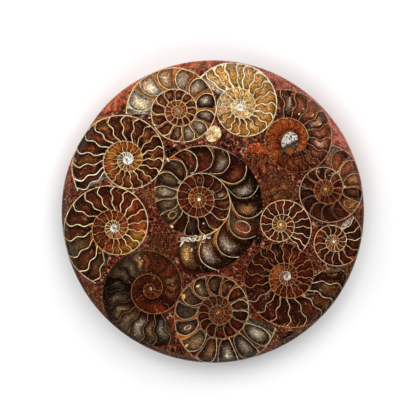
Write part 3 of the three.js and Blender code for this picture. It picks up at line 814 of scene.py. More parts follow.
def chamber_finish(shell, gloss):
    """Calcite that fills the chambers: a clouded heart, a dark rim and glowing corners."""
    finish = Finish(shell["name"] + "_filling", gloss)
    mix, ease, shade, noise = finish.mix, finish.ease, finish.shade, finish.noise
    ring, edge, glow, behind = (finish.fact(name) for name in ("ring", "edge", "glow", "behind"))
    heart, flesh, corner = (finish.fact(name, "Color") for name in ("heart", "flesh", "corner"))
    grain = finish.fact("grain", "Vector")
    ragged = shell["ragged"]
    drawn = math.sqrt(shell["stretch"])
    cloud = noise(finish.scaled(grain, (1.0, 0.6, 1.0)), CHAMBER_CLOUD)
    fibre = noise(finish.scaled(grain, (1.5 * drawn, 0.8 / drawn, 1.0)), CHAMBER_FIBRE)
    grit = noise(grain, CHAMBER_GRIT)
    coarse = grit * grit
    reach = ring + (fibre - 0.5) * (0.35 * ragged) + (cloud - 0.5) * (0.25 * ragged)

    # the body, veined with the corners' tone and speckled dark
    corner = shade(corner, cloud * 0.9 + coarse * 1.1)
    vein = ease(fibre * 0.6 + cloud * 0.7, *VEINS) * shell["vein"]
    colour = mix(vein, shade(flesh, fibre * fibre * 2.2 + coarse * 1.9), corner)
    dark_specks = ease(grit * 0.6 + fibre * 0.6, *DARK_SPECKS)
    colour = mix(dark_specks * 0.6, colour, linear("soot"))

    # the heart, with a painted highlight spot in its middle and painted glints
    near = ring + (fibre - 0.5) * 0.5 + (cloud - 0.5) * 0.3
    near = ease(near, shell["core"], HEART_FULL)
    colour = mix(near * glow, colour, shade(heart, fibre * 0.6 + coarse * 1.7))
    spot = ease(ring + (grit - 0.5) * 1.1, *HIGHLIGHT_SPOT_SPAN) * glow * shell["spot"]
    colour = mix(spot, colour, shade(heart, 2.0))
    glint = ease(noise(grain, CHAMBER_GLINT) + (1 - ring) * 0.25, *GLINTS)
    glint = glint * ease(ring, *GLINT_SPAN) * glow * shell["glint"]
    colour = mix(glint, colour, shade(heart, 2.6))
    patch = noise(finish.scaled(grain, (1.0, 0.8, 1.0)), CHAMBER_PATCH)
    colour = shade(colour, 0.6 + patch * 0.8)

    # the dark rim, the corners, the warm edge by the walls, and the pale line
    colour = mix(finish.band(reach, *RIM_BAND) * shell["rim"], colour, linear("soot"))
    colour = mix(ease(reach, 0.97 - 0.03 * ragged, 0.99 + 0.09 * ragged), colour, corner)
    halo = ease(edge + (fibre - 0.5) * 0.9, 0.8, 0.1)
    halo = halo * ease(behind + cloud * 0.8, 0.45, 1.2) * shell["halo"]
    colour = mix(halo, colour, corner)
    colour = mix(finish.band(reach, *LINE_BAND) * shell["outline"], colour, linear("bone"))

    # pale flecks: partly gold specks in the calcite, partly painted sparkle highlights
    dots = noise(finish.scaled(grain, (1.2, 0.9, 1.0)), CHAMBER_DOTS)
    start = 0.92 - 0.16 * shell["spark"]
    fleck_and_sparkle = ease(dots * 0.75 + cloud * 0.35, start, start + 0.06)
    colour = mix(fleck_and_sparkle * 0.8, colour, mix(grit, linear("honey"), linear("cream")))
    finish.feed(finish.shader["Roughness"], gloss + (grit - 0.5) * 0.08)
    return finish.polish(colour)


def wall_finish(name, gloss):
    """Mineralised shell: pale, a little mottled along its length."""
    finish = Finish(name, gloss)
    mottle = finish.noise(finish.place(), WALL_MOTTLE)
    return finish.polish(finish.shade(finish.fact("shell", "Color"), 0.35 + mottle * 1.1))


def stone_finish(settings):
    """Jasper-like stone: broken bits and grit in red-brown silica, smoother towards the rim."""
    finish = Finish("jasper_matrix", settings.gloss, 0.05)
    mix, ease = finish.mix, finish.ease
    tones = (settings.deep, settings.body, settings.warm, settings.pale)
    deep, body, warm, pale = (tuple(tone) for tone in tones)
    place = finish.place()
    size = settings.grit / MM
    cloud = finish.noise(place, STONE_CLOUD)
    fine = finish.noise(place, STONE_GRIT)
    bent = finish.bent(place, 2.2, STONE_WOBBLE)

    # broken bits, some of them pale
    cells = finish.cells(bent, 1 / size)
    tint = finish.channel(cells[1], 1)
    bit = mix(ease(tint, 0.3, 0.8), linear("bark"), linear("hazel"))
    bit = mix(ease(tint, 0.85, 0.92) * 0.6, bit, pale)
    colour = mix(finish.grains(*cells, BITS), mix(cloud, deep, body), bit)
    colour = finish.shade(colour, fine * fine * 3.6 + 0.2)

    # dark and pale grit, and dust
    cells = finish.cells(bent, 1.7 / size)
    light = finish.grains(*cells, LIGHT_GRAINS)
    dust = finish.grains(*finish.cells(place, 2.6 / size), DUST)
    colour = mix(finish.grains(*cells, DARK_GRAINS) * 0.8, colour, linear("soot"))
    colour = mix(light * 0.6, colour, pale)
    colour = mix(dust * 0.7, colour, linear("cream"))

    # smooth red stone by the rim: orange jasper at one side, painted brighter there as if lit from
    # behind, and at another a painted pink glare that reflects the bright surroundings
    smooth = finish.shade(mix(fine, linear("maroon"), linear("hazel")), 0.3 + cloud * 0.7)
    for side, tone in ((BACKLIT_JASPER_SIDE, warm), (PINK_GLARE_SIDE, linear("pink"))):
        aim = finish.vectors("DOT_PRODUCT", place, side, output="Value")
        aim = aim * (1 / PLATE_RADIUS) + (cloud - 0.5) * 0.25
        tone = mix(ease(fine, *SALMON_PATCHES) * 0.85, tone, linear("salmon"))
        tone = finish.shade(tone, fine * 1.7 + cloud * 0.5)
        smooth = mix(ease(aim, 0.62, 0.97) * 0.9, smooth, tone)
    smooth = mix(dust * 0.6 + light * 0.35, smooth, linear("cream"))
    radius = finish.vectors("LENGTH", finish.scaled(place, (1.0, 1.0, 0.0)), output="Value")
    ends = (PLATE_RADIUS - inset for inset in SMOOTH_BAND)
    colour = mix(ease(radius + (cloud - 0.5) * 9, *ends) * 0.85, colour, smooth)
    finish.bump(fine, 0.08, 0.05)
    return finish.polish(colour)


def fragment_finish(name, tones, size, stretch, direction, gloss):
    """A broken bit of shell or stone: three tones, mottled or streaked along one direction."""
    deep, middle, pale = (linear(tone) for tone in tones.split())
    finish = Finish(name + "_surface", gloss)
    place = finish.place()
    grit = finish.noise(place, FRAGMENT_GRIT)
    patch = finish.noise(place, FRAGMENT_PATCH)
    along_streaks = finish.scaled(finish.turned(place, -direction), (stretch, 1.0, 1.0))
    streaks = finish.noise(along_streaks, (FRAGMENT_STREAK[0] / size, *FRAGMENT_STREAK[1:]))
    colour = finish.mix(finish.ease(streaks, 0.15, 0.75), deep, middle)
    colour = finish.mix(finish.ease(streaks + (grit - 0.5) * 0.3, 0.78, 1.0), colour, pale)
    colour = finish.shade(colour, grit * grit * 0.9 + patch * 1.3)
    # pale cream flecks: partly the fragment's own specks, partly painted sparkle highlights
    fleck_and_sparkle = finish.ease(finish.noise(place, FRAGMENT_FLECK_AND_SPARKLE), *FRAGMENT_FLECKS_AND_SPARKLES)
    return finish.polish(finish.mix(fleck_and_sparkle * 0.35, colour, linear("cream")))


def sugar_finish(name, gloss):
    """Coarse calcite crystals, white above and olive to amber below, with dark spots among them."""
    finish = Finish(name, gloss)
    mix, ease = finish.mix, finish.ease
    place = finish.place()
    distance, cell = finish.cells(finish.bent(place, 1.0, SUGAR_WOBBLE), 1.5)
    fine = finish.noise(place, SUGAR_GRIT)
    across = finish.node("SeparateXYZ", {0: finish.fact("grain", "Vector")})
    up = across.beside(1)
    white = mix(finish.channel(cell, 0), linear("silver"), linear("snow"))
    dark_spots = finish.grains(distance, cell, CRYSTAL_DARK_SPOTS)
    white = mix(dark_spots, finish.shade(white, 0.55 + fine * 0.7), linear("soot"))
    dull = mix(ease(fine, 0.3, 0.8), linear("soot"), linear("olive"))
    dull = mix(ease(fine + across * 0.3, 0.95, 1.1), dull, linear("bone"))
    low = up + 0.75
    warm = ease(across * across * 2.5 + low * low * 5 + (fine - 0.5) * 1.1, 0.5, 0.3)
    dull = mix(warm * 0.9, dull, finish.shade(linear("amber"), 0.6 + fine))
    level = up + (fine - 0.5) * 0.4 - across * 0.35
    finish.bump(distance, 0.35, 0.15)
    return finish.paint(mix(ease(level, -0.05, 0.1), dull, white))


def chip_finish(gloss):
    """Small chips of shell and stone, each with its own tone."""
    finish = Finish("chip_surface", gloss)
    place = finish.place()
    streak = finish.noise(finish.scaled(place, (0.5, 1.3, 1.0)), CHIP_STREAK)
    grit = finish.noise(place, CHIP_GRIT)
    return finish.polish(finish.shade(finish.fact("shell", "Color"), streak * 0.8 + grit * 0.7))


def floor_finish(tone):
    """Pale, even card."""
    finish = Finish("studio_floor", 0.7, 0)
    cloud = finish.noise(finish.place(), FLOOR_CLOUD)
    return finish.paint(finish.shade(tone, 0.99 + cloud * 0.02))


# ---- meshes --------------------------------------------------------------------------------


def circle(turn):
    """Points on the unit circle."""
    return np.stack([np.cos(turn), np.sin(turn)], -1)


def in_space(flat):
    """Points of the pattern as points in space."""
    return np.pad(flat, [(0, 0)] * (flat.ndim - 1) + [(0, 1)])


def rim_radius(direction):
    """How far the plate's rim lies from its axis, for directions in degrees."""
    away = np.abs((direction - GROUND_DIRECTION + 180) % 360 - 180)
    return PLATE_RADIUS - GROUND_DEPTH * np.exp(-((away / GROUND_SPREAD) ** 2))


def from_face(flat):
    """Of points of the flat pattern: their direction, how far the plate's flat face reaches
    there, and their reach from the plate's axis."""
    angle = np.arctan2(flat[:, 1], flat[:, 0])
    return angle, rim_radius(np.degrees(angle)) - RIM_ROUND, np.hypot(flat[:, 0], flat[:, 1])


def beyond_round(flat):
    """How far each point of the flat pattern lies past the end of the rim's rounding."""
    _, face, reach = from_face(flat)
    return reach - face - ROUND_LENGTH


def seat(flat):
    """Lays the flat pattern on the polished face and round its rim: (points, normals)."""
    angle, face, reach = from_face(flat)
    turn = np.clip((reach - face) / RIM_ROUND, 0, math.pi / 2)
    radius = np.where(turn > 0, face + RIM_ROUND * np.sin(turn), reach)
    height = THICKNESS - RIM_ROUND * (1 - np.cos(turn))
    outward = circle(angle)
    points = np.column_stack([radius[:, None] * outward, height])
    return points, np.column_stack([np.sin(turn)[:, None] * outward, np.cos(turn)])


def outer_edges(faces, count):
    """Directed edges that only one face has."""
    sides = faces.shape[1]
    edges = np.concatenate([faces[:, [i, (i + 1) % sides]] for i in range(sides)])
    forward = edges[:, 0] * count + edges[:, 1]
    backward = edges[:, 1] * count + edges[:, 0]
    return edges[~np.isin(forward, backward)]


def close_skin(points, normals, faces, proud, depth):
    """Gives a skin an underside and sides: (points, faces)."""
    count = len(points)
    edges = outer_edges(faces, count)
    sides = np.stack([edges[:, 1], edges[:, 0], edges[:, 0] + count, edges[:, 1] + count], 1)
    points = np.concatenate([points + normals * proud, points - normals * depth])
    return points, faces.tolist() + (faces[:, ::-1] + count).tolist() + sides.tolist()


class Sheet:
    """Flat patches in millimetres, each point with its numbers, to be laid on the plate."""

    def __init__(self):
        self.flat = []
        self.quads = []
        self.facts = {}
        self.count = 0

    def add(self, flat, facts):
        """Adds a grid of points, rows by columns, turned to face up whichever way it runs."""
        grid = flat.shape[:2]
        index = np.arange(grid[0] * grid[1]).reshape(grid)
        quads = np.stack([index[:-1, :-1], index[1:, :-1], index[1:, 1:], index[:-1, 1:]], -1)
        quads = quads.reshape(-1, 4)
        points = flat.reshape(-1, 2)
        across = points[quads[:, 2]] - points[quads[:, 0]]
        other = points[quads[:, 3]] - points[quads[:, 1]]
        if np.sum(across[:, 0] * other[:, 1] - across[:, 1] * other[:, 0]) < 0:
            quads = quads[:, ::-1]
        self.flat.append(points)
        self.quads.append(quads + self.count)
        for name, values in facts.items():
            width = np.shape(values)[-1]
            shaped = np.broadcast_to(values, (*grid, width)).reshape(-1, width)
            self.facts.setdefault(name, []).append(shaped)
        self.count += len(points)

    def patch(self, middle, ring, tone):
        """Adds a filled patch within a ring of points round its middle."""
        flat = middle + ring[:, None, :] * np.array(PATCH_RINGS)[None, :, None]
        self.add(flat, {"shell": tone})

    def line(self, flat, thickness, tone):
        """Adds a strip along a line of points, as thick as told at each."""
        ahead = np.gradient(flat, axis=0)
        ahead /= np.maximum(np.linalg.norm(ahead, axis=1, keepdims=True), 1e-9)
        aside = np.stack([-ahead[:, 1], ahead[:, 0]], 1) * thickness[:, None] / 2
        self.add(np.stack([flat - aside, flat + aside], 1), {"shell": tone})

    def trim(self, covered):
        """Joins the patches and drops what lies past the rim or under another specimen."""
        flat = np.concatenate(self.flat)
        quads = np.concatenate(self.quads)
        facts = {name: np.concatenate(values) for name, values in self.facts.items()}
        gone = np.all(beyond_round(flat)[quads] >= 0, axis=1)
        for test in covered:
            gone |= np.all(test(flat)[quads] > COVER_MARGIN, axis=1)
        used, index = np.unique(quads[~gone], return_inverse=True)
        return flat[used], index.reshape(-1, 4), {name: values[used] for name, values in facts.items()}

    def build(self, name, material, proud, depth, covered=(), underside=None):
        """Makes the patches a closed skin on the plate, with skirts down its side where they meet
        the rim. underside gives how low the body reaches below a point of the rim."""
        flat, quads, facts = self.trim(covered)
        skin = (*seat(flat), quads, facts)
        if underside is not None:
            edges = outer_edges(quads, len(flat))
            edges = edges[np.all(beyond_round(flat)[edges] >= 0, axis=1)]
            if len(edges):
                skin = hang_skirts(*skin, edges, underside(flat))
        points, faces = close_skin(*skin[:3], proud, depth)
        return place_piece(name, points, faces, material, skin[3])


def hang_skirts(points, normals, quads, facts, edges, underside):
    """Adds strips down the plate's side below the rim edges of a skin."""
    top = np.unique(edges)
    where = np.full(len(points), -1)
    where[top] = np.arange(len(top))
    rim_height = THICKNESS - RIM_ROUND
    low = np.minimum(underside[top], rim_height - SKIRT_LEAST)
    levels = [points]
    strips = [quads]
    facts = {name: [values] for name, values in facts.items()}
    above = edges
    for row in range(1, SKIRT_ROWS + 1):
        level = points[top].copy()
        level[:, 2] = rim_height + (low - rim_height) * (row / SKIRT_ROWS)
        below = where[edges] + len(points) + len(top) * (row - 1)
        strips.append(np.stack([above[:, 1], above[:, 0], below[:, 0], below[:, 1]], 1))
        levels.append(level)
        above = below
        for name, layers in facts.items():
            drift = (rim_height - level[:, 2:]) * SKIRT_DRIFT if name == "grain" else 0
            layers.append(layers[0][top] + drift)
    normals = np.concatenate([normals] + [normals[top]] * SKIRT_ROWS)
    facts = {name: np.concatenate(layers) for name, layers in facts.items()}
    return np.concatenate(levels), normals, np.concatenate(strips), facts


def keep_fact(mesh, name, values):
    """Stores numbers, vectors or colours on a mesh's points, the same above and below."""
    if values.shape[1] == 1:
        kind, field = "FLOAT", "value"
    elif name == "grain":
        kind, field = "FLOAT_VECTOR", "vector"
    else:
        kind, field = "FLOAT_COLOR", "color"
        values = np.column_stack([values, np.ones(len(values))])
    attribute = mesh.attributes.new(name, kind, "POINT")
    attribute.data.foreach_set(field, np.tile(values, (2, 1)).astype(np.float32).ravel())


def place_piece(name, points, faces, material, facts):
    """Puts a body, told in millimetres, on the plate as a piece that rides with it."""
    mesh = bpy.data.meshes.new(name)
    mesh.from_pydata((points * MM).tolist(), [], faces)
    for fact, values in facts.items():
        keep_fact(mesh, fact, values)
    mesh.validate()
    mesh.shade_smooth()
    mesh.set_sharp_from_angle(angle=math.radians(SHARP_ANGLE))
    mesh.materials.append(material)
    piece = bpy.data.objects.new(name, mesh)
    bpy.context.scene.collection.objects.link(piece)
    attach(piece, BODY)
    return piece


# ---- ammonites -----------------------------------------------------------------------------


def wall_reach(shell, back):
    """Reach of the outer wall that many degrees of growth before the mouth."""
    turns = np.asarray(back) / 360
    inner = math.log(shell["growth"])
    slowed = (math.log(shell["last_growth"]) - inner) * SLOWING * (1 - np.exp(-turns / SLOWING))
    return shell["reach"] * np.exp(-inner * turns - slowed)


def whorl_height(shell, back):
    """How far the outer wall lies from the inner one there."""
    return float(wall_reach(shell, back) - wall_reach(shell, back + 360))


def shell_polar(shell, reach, direction):
    """Points of the pattern at a reach and a direction from the shell's centre."""
    oval = math.radians(shell["oval_direction"])
    angle = np.radians(direction) - oval
    x = reach * np.cos(angle) * shell["oval"]
    y = reach * np.sin(angle) / shell["oval"]
    cx, cy = shell["centre"]
    return np.stack([x * math.cos(oval) - y * math.sin(oval) + cx,
                     x * math.sin(oval) + y * math.cos(oval) + cy], -1)


def shell_points(shell, back, height):
    """Points of the pattern: degrees of growth before the mouth, and height across the whorl."""
    inner = wall_reach(shell, back + 360)
    reach = inner + (wall_reach(shell, back) - inner) * height
    return shell_polar(shell, reach, shell["mouth"] - shell["coil"] * back)


def shell_place(shell, flat):
    """The reach of each point from the shell's centre, and that of its outline there."""
    oval = math.radians(shell["oval_direction"])
    x, y = flat[:, 0] - shell["centre"][0], flat[:, 1] - shell["centre"][1]
    along_oval = (x * math.cos(oval) + y * math.sin(oval)) / shell["oval"]
    across = (y * math.cos(oval) - x * math.sin(oval)) * shell["oval"]
    direction = np.degrees(np.arctan2(across, along_oval)) + shell["oval_direction"]
    back = shell["coil"] * (shell["mouth"] - direction) % 360
    outline = wall_reach(shell, back)
    if shell["lead"] > 0:
        step = wall_reach(shell, 360 - shell["lead"])
        part = 1 - (360 - back) / shell["lead"]
        outline = np.where(part > 0, step + (shell["reach"] - step) * part, outline)
    return np.hypot(along_oval, across), outline


def shell_cover(shell):
    """A test that gives how deep a point lies inside the shell's outline."""
    def inside(flat):
        reach, outline = shell_place(shell, flat)
        return outline - reach
    return inside


def shell_underside(shell):
    """How low the shell's buried body reaches under a point, as its solid does."""
    def low(flat):
        reach, outline = shell_place(shell, flat)
        part = np.interp(reach / outline, DEPTH_PLACES, DEPTH_SHARES)
        return THICKNESS - (LEAST_DEPTH + DEPTH_OF_REACH * shell["reach"]) * part
    return low


def septa_of(shell, dice):
    """Places of all chamber walls, from the mouth to the hub."""
    places = list(shell["septa"])
    while wall_reach(shell, places[-1]) > HUB_REACH:
        places.append(places[-1] + shell["spacing"] * dice.uniform(*SPACING_RANGE))
    return places


def mouth_line(shell, height):
    """Degrees back from the mouth of its edge, over heights from 0 to 1 of the whorl."""
    return -(shell["lead"] * (1 - height) + shell["bow"] * np.sin(math.pi * height))


def septum_line(shell, place, height):
    """Degrees back from the mouth of a chamber wall, over heights from 0 to 1 of the whorl."""
    wave, inner, outer = along(shell["shape"], place)
    sway = wave * (np.cos(4 * math.pi * (height - WAVE_TOP)) - 1) / 2
    turn = shell["turn"]
    low = np.clip(1 - height / turn, 0, 1) ** shell["hook"]
    high = np.clip((height - turn) / (1 - turn), 0, 1) ** 2
    return place + sway + inner * low + outer * high


def chamber_ring(shell, place, across, height):
    """0 in the heart of a chamber, 1 at its rounded edge and more in its corners."""
    curl, bubble = along(shell["round"], place)
    rise = np.abs(height - 0.5) * 2
    forward = np.clip((HEART_PLACE - across) / HEART_FRONT, 0, None)
    backward = np.clip((across - HEART_PLACE) / (bubble - HEART_PLACE), 0, None)
    front = (rise ** FRONT_CURL + forward ** FRONT_CURL) ** (1 / FRONT_CURL)
    back = (rise ** curl + backward ** curl) ** (1 / curl)
    return np.where(across < HEART_PLACE, front, back)


def add_chamber(sheet, shell, front, back, place, cell, dice):
    """Adds one chamber's filling, between two lines over the whorl's height."""
    reach = float(wall_reach(shell, place))
    tall = whorl_height(shell, place)
    long = math.radians(float(np.mean(back(0.5) - front(0.5)))) * reach
    rows = max(LEAST_ROWS, math.ceil(long / cell) + 1)
    columns = max(LEAST_COLUMNS, math.ceil(tall / cell) + 1)
    across = np.linspace(0, 1, rows)[:, None]
    height = np.linspace(0, 1, columns)[None, :]
    low = front(height)
    high = np.maximum(back(height), low + LEAST_CHAMBER)
    turned = low + (high - low) * across
    width = np.radians(high - low) * wall_reach(shell, turned) * (0.5 + 0.5 * height)
    edge = np.minimum(np.minimum(across, 1 - across) * width, np.minimum(height, 1 - height) * tall)
    tones = np.array(along(shell["fill"], place)).reshape(-1, 3)
    tones = tones * np.exp(dice.gauss(0, CHAMBER_SPREAD))
    tones[0] *= np.exp(dice.gauss(0, HEART_SPREAD))
    heart, low_flesh, high_flesh, low_corner, high_corner = tones
    rise = (height ** 2 * (3 - 2 * height))[..., None]
    plain = shell["silt"] and place < shell["septa"][0]
    grain = [across * width, height * tall + 0 * across, 0 * turned + dice.uniform(0, GRAIN_SHIFT)]
    sheet.add(shell_points(shell, turned, np.broadcast_to(height, turned.shape)), {
        "heart": heart,
        "flesh": low_flesh + (high_flesh - low_flesh) * rise,
        "corner": low_corner + (high_corner - low_corner) * rise,
        "ring": chamber_ring(shell, place, across, height)[..., None],
        "edge": edge[..., None],
        "glow": [0.0 if plain else shell["heart"]],
        "behind": (across * (1 - height * 0.5))[..., None],
        "grain": np.stack(grain, -1),
    })


def add_hub(sheet, shell, end):
    """Fills the first chamber, round which the shell coils."""
    turn = np.linspace(end - 360, end, HUB_SIDES + 1)[:, None]
    reach = wall_reach(shell, turn + 360) * np.array([HUB_RINGS])
    flat = shell_polar(shell, reach, shell["mouth"] - shell["coil"] * turn)
    tone = linear(shell["hub"])
    facts = {"heart": tone, "flesh": tone, "corner": tone, "grain": in_space(flat)}
    sheet.add(flat, {**facts, **HUB_FACTS})


def add_mark(sheet, shell, mark, dice):
    """Adds a ring of crystals in a chamber, or a filled patch where its line has no thickness."""
    place, (height, long, tall, thickness, *tone) = mark
    middle, above = shell_points(shell, np.array([place, place]), np.array([height, height + 0.1]))
    outward = above - middle
    outward /= np.hypot(*outward)
    onward = np.array([outward[1], -outward[0]])
    turn = np.linspace(0, 2 * math.pi, MARK_SIDES + 1)
    waver = uneven_ring(MARK_SIDES, dice, WALL_WAVER)
    ring = (np.cos(turn) * long * waver)[:, None] * onward
    ring += (np.sin(turn) * tall * waver)[:, None] * outward
    # some pale patches are painted sparkle highlights
    if thickness:
        width = thickness * np.clip(uneven(MARK_SIDES + 1, dice, MARK_WAVER), *MARK_WIDTHS)
        sheet.line(middle + ring, width, tone)
    else:
        sheet.patch(middle, ring, tone)


def uneven(count, dice, amount):
    """Smoothly wandering factors about 1."""
    waves = [[dice.uniform(*ends) for ends in (WAVE_PACES, WAVE_STARTS, WAVE_SIZES)]
             for _ in range(WAVES)]
    steps = np.arange(count)
    wander = sum(size * np.sin(pace * steps + start) for pace, start, size in waves)
    return 1 + amount * wander / 2


def uneven_ring(sides, dice, amount):
    """Wandering factors for the points of a ring, whose last point is its first."""
    factors = uneven(sides + 1, dice, amount)
    factors[-1] = factors[0]
    return factors


def build_fillings(shell, settings, covered, proud):
    """The chambers' fillings from the mouth to the hub. Gives the places of the chamber walls."""
    dice = random.Random(shell["name"])
    sheet = Sheet()
    places = septa_of(shell, dice)
    lines = [lambda height: mouth_line(shell, height)]
    lines += [lambda height, place=place: septum_line(shell, place, height) for place in places]
    middles = [(a + b) / 2 for a, b in zip([0, *places], places)]
    for front, back, middle in zip(lines, lines[1:], middles):
        add_chamber(sheet, shell, front, back, middle, settings.cell / MM, dice)
    add_hub(sheet, shell, places[-1])
    piece = sheet.build(shell["name"] + "_chambers", chamber_finish(shell, settings.gloss), proud,
                        settings.skin / MM, covered, shell_underside(shell))
    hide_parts(shell["name"])
    return [place for place in places if place < shell["walls_to"]]


def septum_widths(shell, place, height):
    """How wide a chamber wall is over its height: wider at its ends, less so where it sweeps."""
    sweep = abs(along(shell["shape"], place)[1])
    gone, most, thin_height = SWEEP_THIN
    foot = shell["foot"] * math.exp(-sweep / SWEEP_FLARE)
    widths = 1 + foot * np.exp(-height / FLARE) + HEAD_FLARE * np.exp((height - 1) / FLARE)
    return widths - min(most, sweep / gone) * np.exp(-height / thin_height)


def build_walls(shell, settings, covered, proud, places):
    """The outer wall's spiral and the chamber walls, as thin closed strips."""
    dice = random.Random(shell["name"] + " walls")
    sheet = Sheet()
    star, stouter = shell["star"]
    back = np.arange(0, places[-1], WALL_STEP)
    taper = np.sqrt(wall_reach(shell, back) / shell["reach"]) * np.where(back > star, stouter, 1)
    tones = np.array([along(shell["shell"], place)[:3] for place in back])
    sheet.line(shell_points(shell, back, np.ones_like(back)),
               settings.wall * shell["wall"] * taper * uneven(len(back), dice, WALL_WAVER),
               tones[:, None, :])
    for place in places:
        steps = max(LEAST_COLUMNS, math.ceil(whorl_height(shell, place) / SEPTUM_STEP) + 1)
        height = np.linspace(0, 1, steps)
        taper = math.sqrt(float(wall_reach(shell, place)) / shell["reach"])
        taper *= stouter if place > star else 1
        tone = np.array(along(shell["shell"], place))[3:] * math.exp(dice.gauss(0, SEPTUM_TONES))
        widths = settings.wall * shell["septum"] * taper * septum_widths(shell, place, height)
        widths *= uneven(steps, dice, WALL_WAVER) * math.exp(dice.gauss(0, SEPTUM_SPREAD))
        sheet.line(shell_points(shell, septum_line(shell, place, height), height), widths, tone)
    for mark in shell["marks"]:
        add_mark(sheet, shell, mark, dice)
    material = wall_finish(shell["name"] + "_wall", settings.gloss)
    piece = sheet.build(shell["name"] + "_shell", material, proud, settings.skin / MM / 2, covered,
                        shell_underside(shell))


def build_plug(shell, settings, proud):
    """The coarse crystals that fill a shell's middle."""
    middle, half = np.array(shell["plug"]).reshape(2, 2)
    dice = random.Random(shell["name"] + " plug")
    ring = circle(np.linspace(0, 2 * math.pi, HUB_SIDES + 1)) * half
    ring *= uneven_ring(HUB_SIDES, dice, PLUG_WAVER)[:, None]
    flat = middle + ring[:, None, :] * np.linspace(HUB_RINGS[0], 1, PLUG_RINGS)[None, :, None]
    sheet = Sheet()
    sheet.add(flat, {"grain": in_space((flat - middle) / half)})
    finish = sugar_finish(shell["name"] + "_calcite_sugar", settings.gloss)
    piece = sheet.build(shell["name"] + "_crystals", finish, proud, settings.skin / MM / 2)


def build_crust(settings, proud):
    """White curls of calcite on a shell's inner wall, and a splinter beside them."""
    dice = random.Random("crust")
    sheet = Sheet()
    bulge = np.sin(np.linspace(CURL_END, math.pi - CURL_END, CURL_POINTS))
    (shift_x, spread_x), (shift_y, spread_y) = CURL_SHIFT
    for x, y, size, start, sweep in CRUST_CURLS:
        for _ in range(CRUST_STRANDS):
            late = dice.uniform(-CURL_TURN, CURL_TURN)
            turn = np.radians(np.linspace(start, start + sweep, CURL_POINTS) + late)
            curl = circle(turn) * size * dice.uniform(*CURL_SIZES)
            curl += [x + shift_x + dice.gauss(0, spread_x), y + shift_y + dice.gauss(0, spread_y)]
            tone = linear(dice.choice(CURL_TONES))
            sheet.line(curl, bulge * dice.uniform(*CURL_WIDTHS), tone)
    splinter = np.linspace(*np.array(SPLINTER), CURL_POINTS)
    sheet.line(splinter, bulge * SPLINTER_WIDTH, linear("ivory"))
    piece = sheet.build("crystal_crust", wall_finish("crust_calcite", settings.gloss), proud,
                        settings.skin / MM / 2)


# ---- fragments and chips -------------------------------------------------------------------


def encloses(outline, point):
    """Whether a point lies inside an outline."""
    after = np.roll(outline, -1, 0)
    spans = (outline[:, 1] > point[1]) != (after[:, 1] > point[1])
    low, high = outline[spans], after[spans]
    part = (point[1] - low[:, 1]) / (high[:, 1] - low[:, 1])
    crossing = low[:, 0] + part * (high[:, 0] - low[:, 0])
    return np.count_nonzero(crossing > point[0]) % 2 == 1


def free_place(middle, size, chips, outlines):
    """Whether a chip of that size there lies clear of the shells, chips and fragments."""
    by_shell, by_fragment = CHIP_ROOM
    return (all(shell_cover(shell)(middle[None])[0] < -size * by_shell for shell in AMMONITES)
            and all(np.hypot(*(middle - other)) > size + room for other, room in chips)
            and all(np.min(np.hypot(*(outline - middle).T)) > size * by_fragment
                    and not encloses(outline, middle) for outline in outlines))


def build_chips(settings, outlines):
    """Small chips scattered in the stone between the specimens."""
    dice = random.Random(CHIP_SEED)
    sheet = Sheet()
    chips = []
    while len(chips) < CHIP_COUNT:
        angle = dice.uniform(0, 2 * math.pi)
        reach = PLATE_RADIUS * math.sqrt(dice.uniform(0, CHIP_AREA))
        size = CHIP_SIZE * math.exp(dice.gauss(0, CHIP_SPREAD))
        middle = np.array([reach * math.cos(angle), reach * math.sin(angle)])
        if not free_place(middle, size, chips, outlines):
            continue
        chips.append((middle, size))
        corners = dice.randint(*CHIP_CORNERS)
        reaches = np.array([dice.uniform(*CHIP_REACHES) for _ in range(corners)]) * size
        turn = np.linspace(0, 2 * math.pi, corners + 1) + dice.uniform(0, 7)
        ring = np.append(reaches, reaches[0])[:, None] * circle(turn)
        ring = ring * np.array([1, dice.uniform(CHIP_NARROWEST, 1)])
        sheet.patch(middle, ring, linear(dice.choice(CHIP_TONES)))
    piece = sheet.build("stone_chips", chip_finish(settings.gloss), settings.proud / MM / 2,
                        settings.skin / MM / 2)


def face_outline(node):
    """The outline of a CAD node as seen from above, in millimetres."""
    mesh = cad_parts[node].data
    edges = set()
    for face in mesh.polygons:
        if face.normal.z > FACING_UP:
            places = [mesh.vertices[vertex].co / MM for vertex in face.vertices]
            ring = [(round(place.x, 2), round(place.y, 2)) for place in places]
            edges |= {pair for pair in zip(ring, ring[1:] + ring[:1]) if pair[0] != pair[1]}
    onward = {a: b for a, b in sorted(edges) if (b, a) not in edges}
    loops = []
    while onward:
        loop = [min(onward)]
        while loop[-1] in onward:
            loop.append(onward.pop(loop[-1]))
        loops.append(np.array(loop[:-1]))
    return max(loops, key=len)


def rounded(outline, times):
    """Cuts the corners off an outline, as often as told."""
    for _ in range(times):
        after = np.roll(outline, -1, 0)
        outline = np.stack([outline * 0.75 + after * 0.25, outline * 0.25 + after * 0.75], 1)
        outline = outline.reshape(-1, 2)
    return outline


def plaque(outline, cell):
    """Fills an outline with a mesh fine enough to bend round the rim: (points, faces)."""
    sheet = bmesh.new()
    face = sheet.faces.new([sheet.verts.new((x, y, 0)) for x, y in outline])
    bmesh.ops.triangulate(sheet, faces=[face])
    for _ in range(FRAGMENT_CUTS):
        long = [edge for edge in sheet.edges if edge.calc_length() > cell]
        if not long:
            break
        bmesh.ops.subdivide_edges(sheet, edges=long, cuts=1)
        bmesh.ops.triangulate(sheet, faces=sheet.faces[:])
    sheet.verts.index_update()
    points = np.array([vertex.co[:2] for vertex in sheet.verts])
    faces = np.array([[vertex.index for vertex in face.verts] for face in sheet.faces])
    sheet.free()
    return points, faces


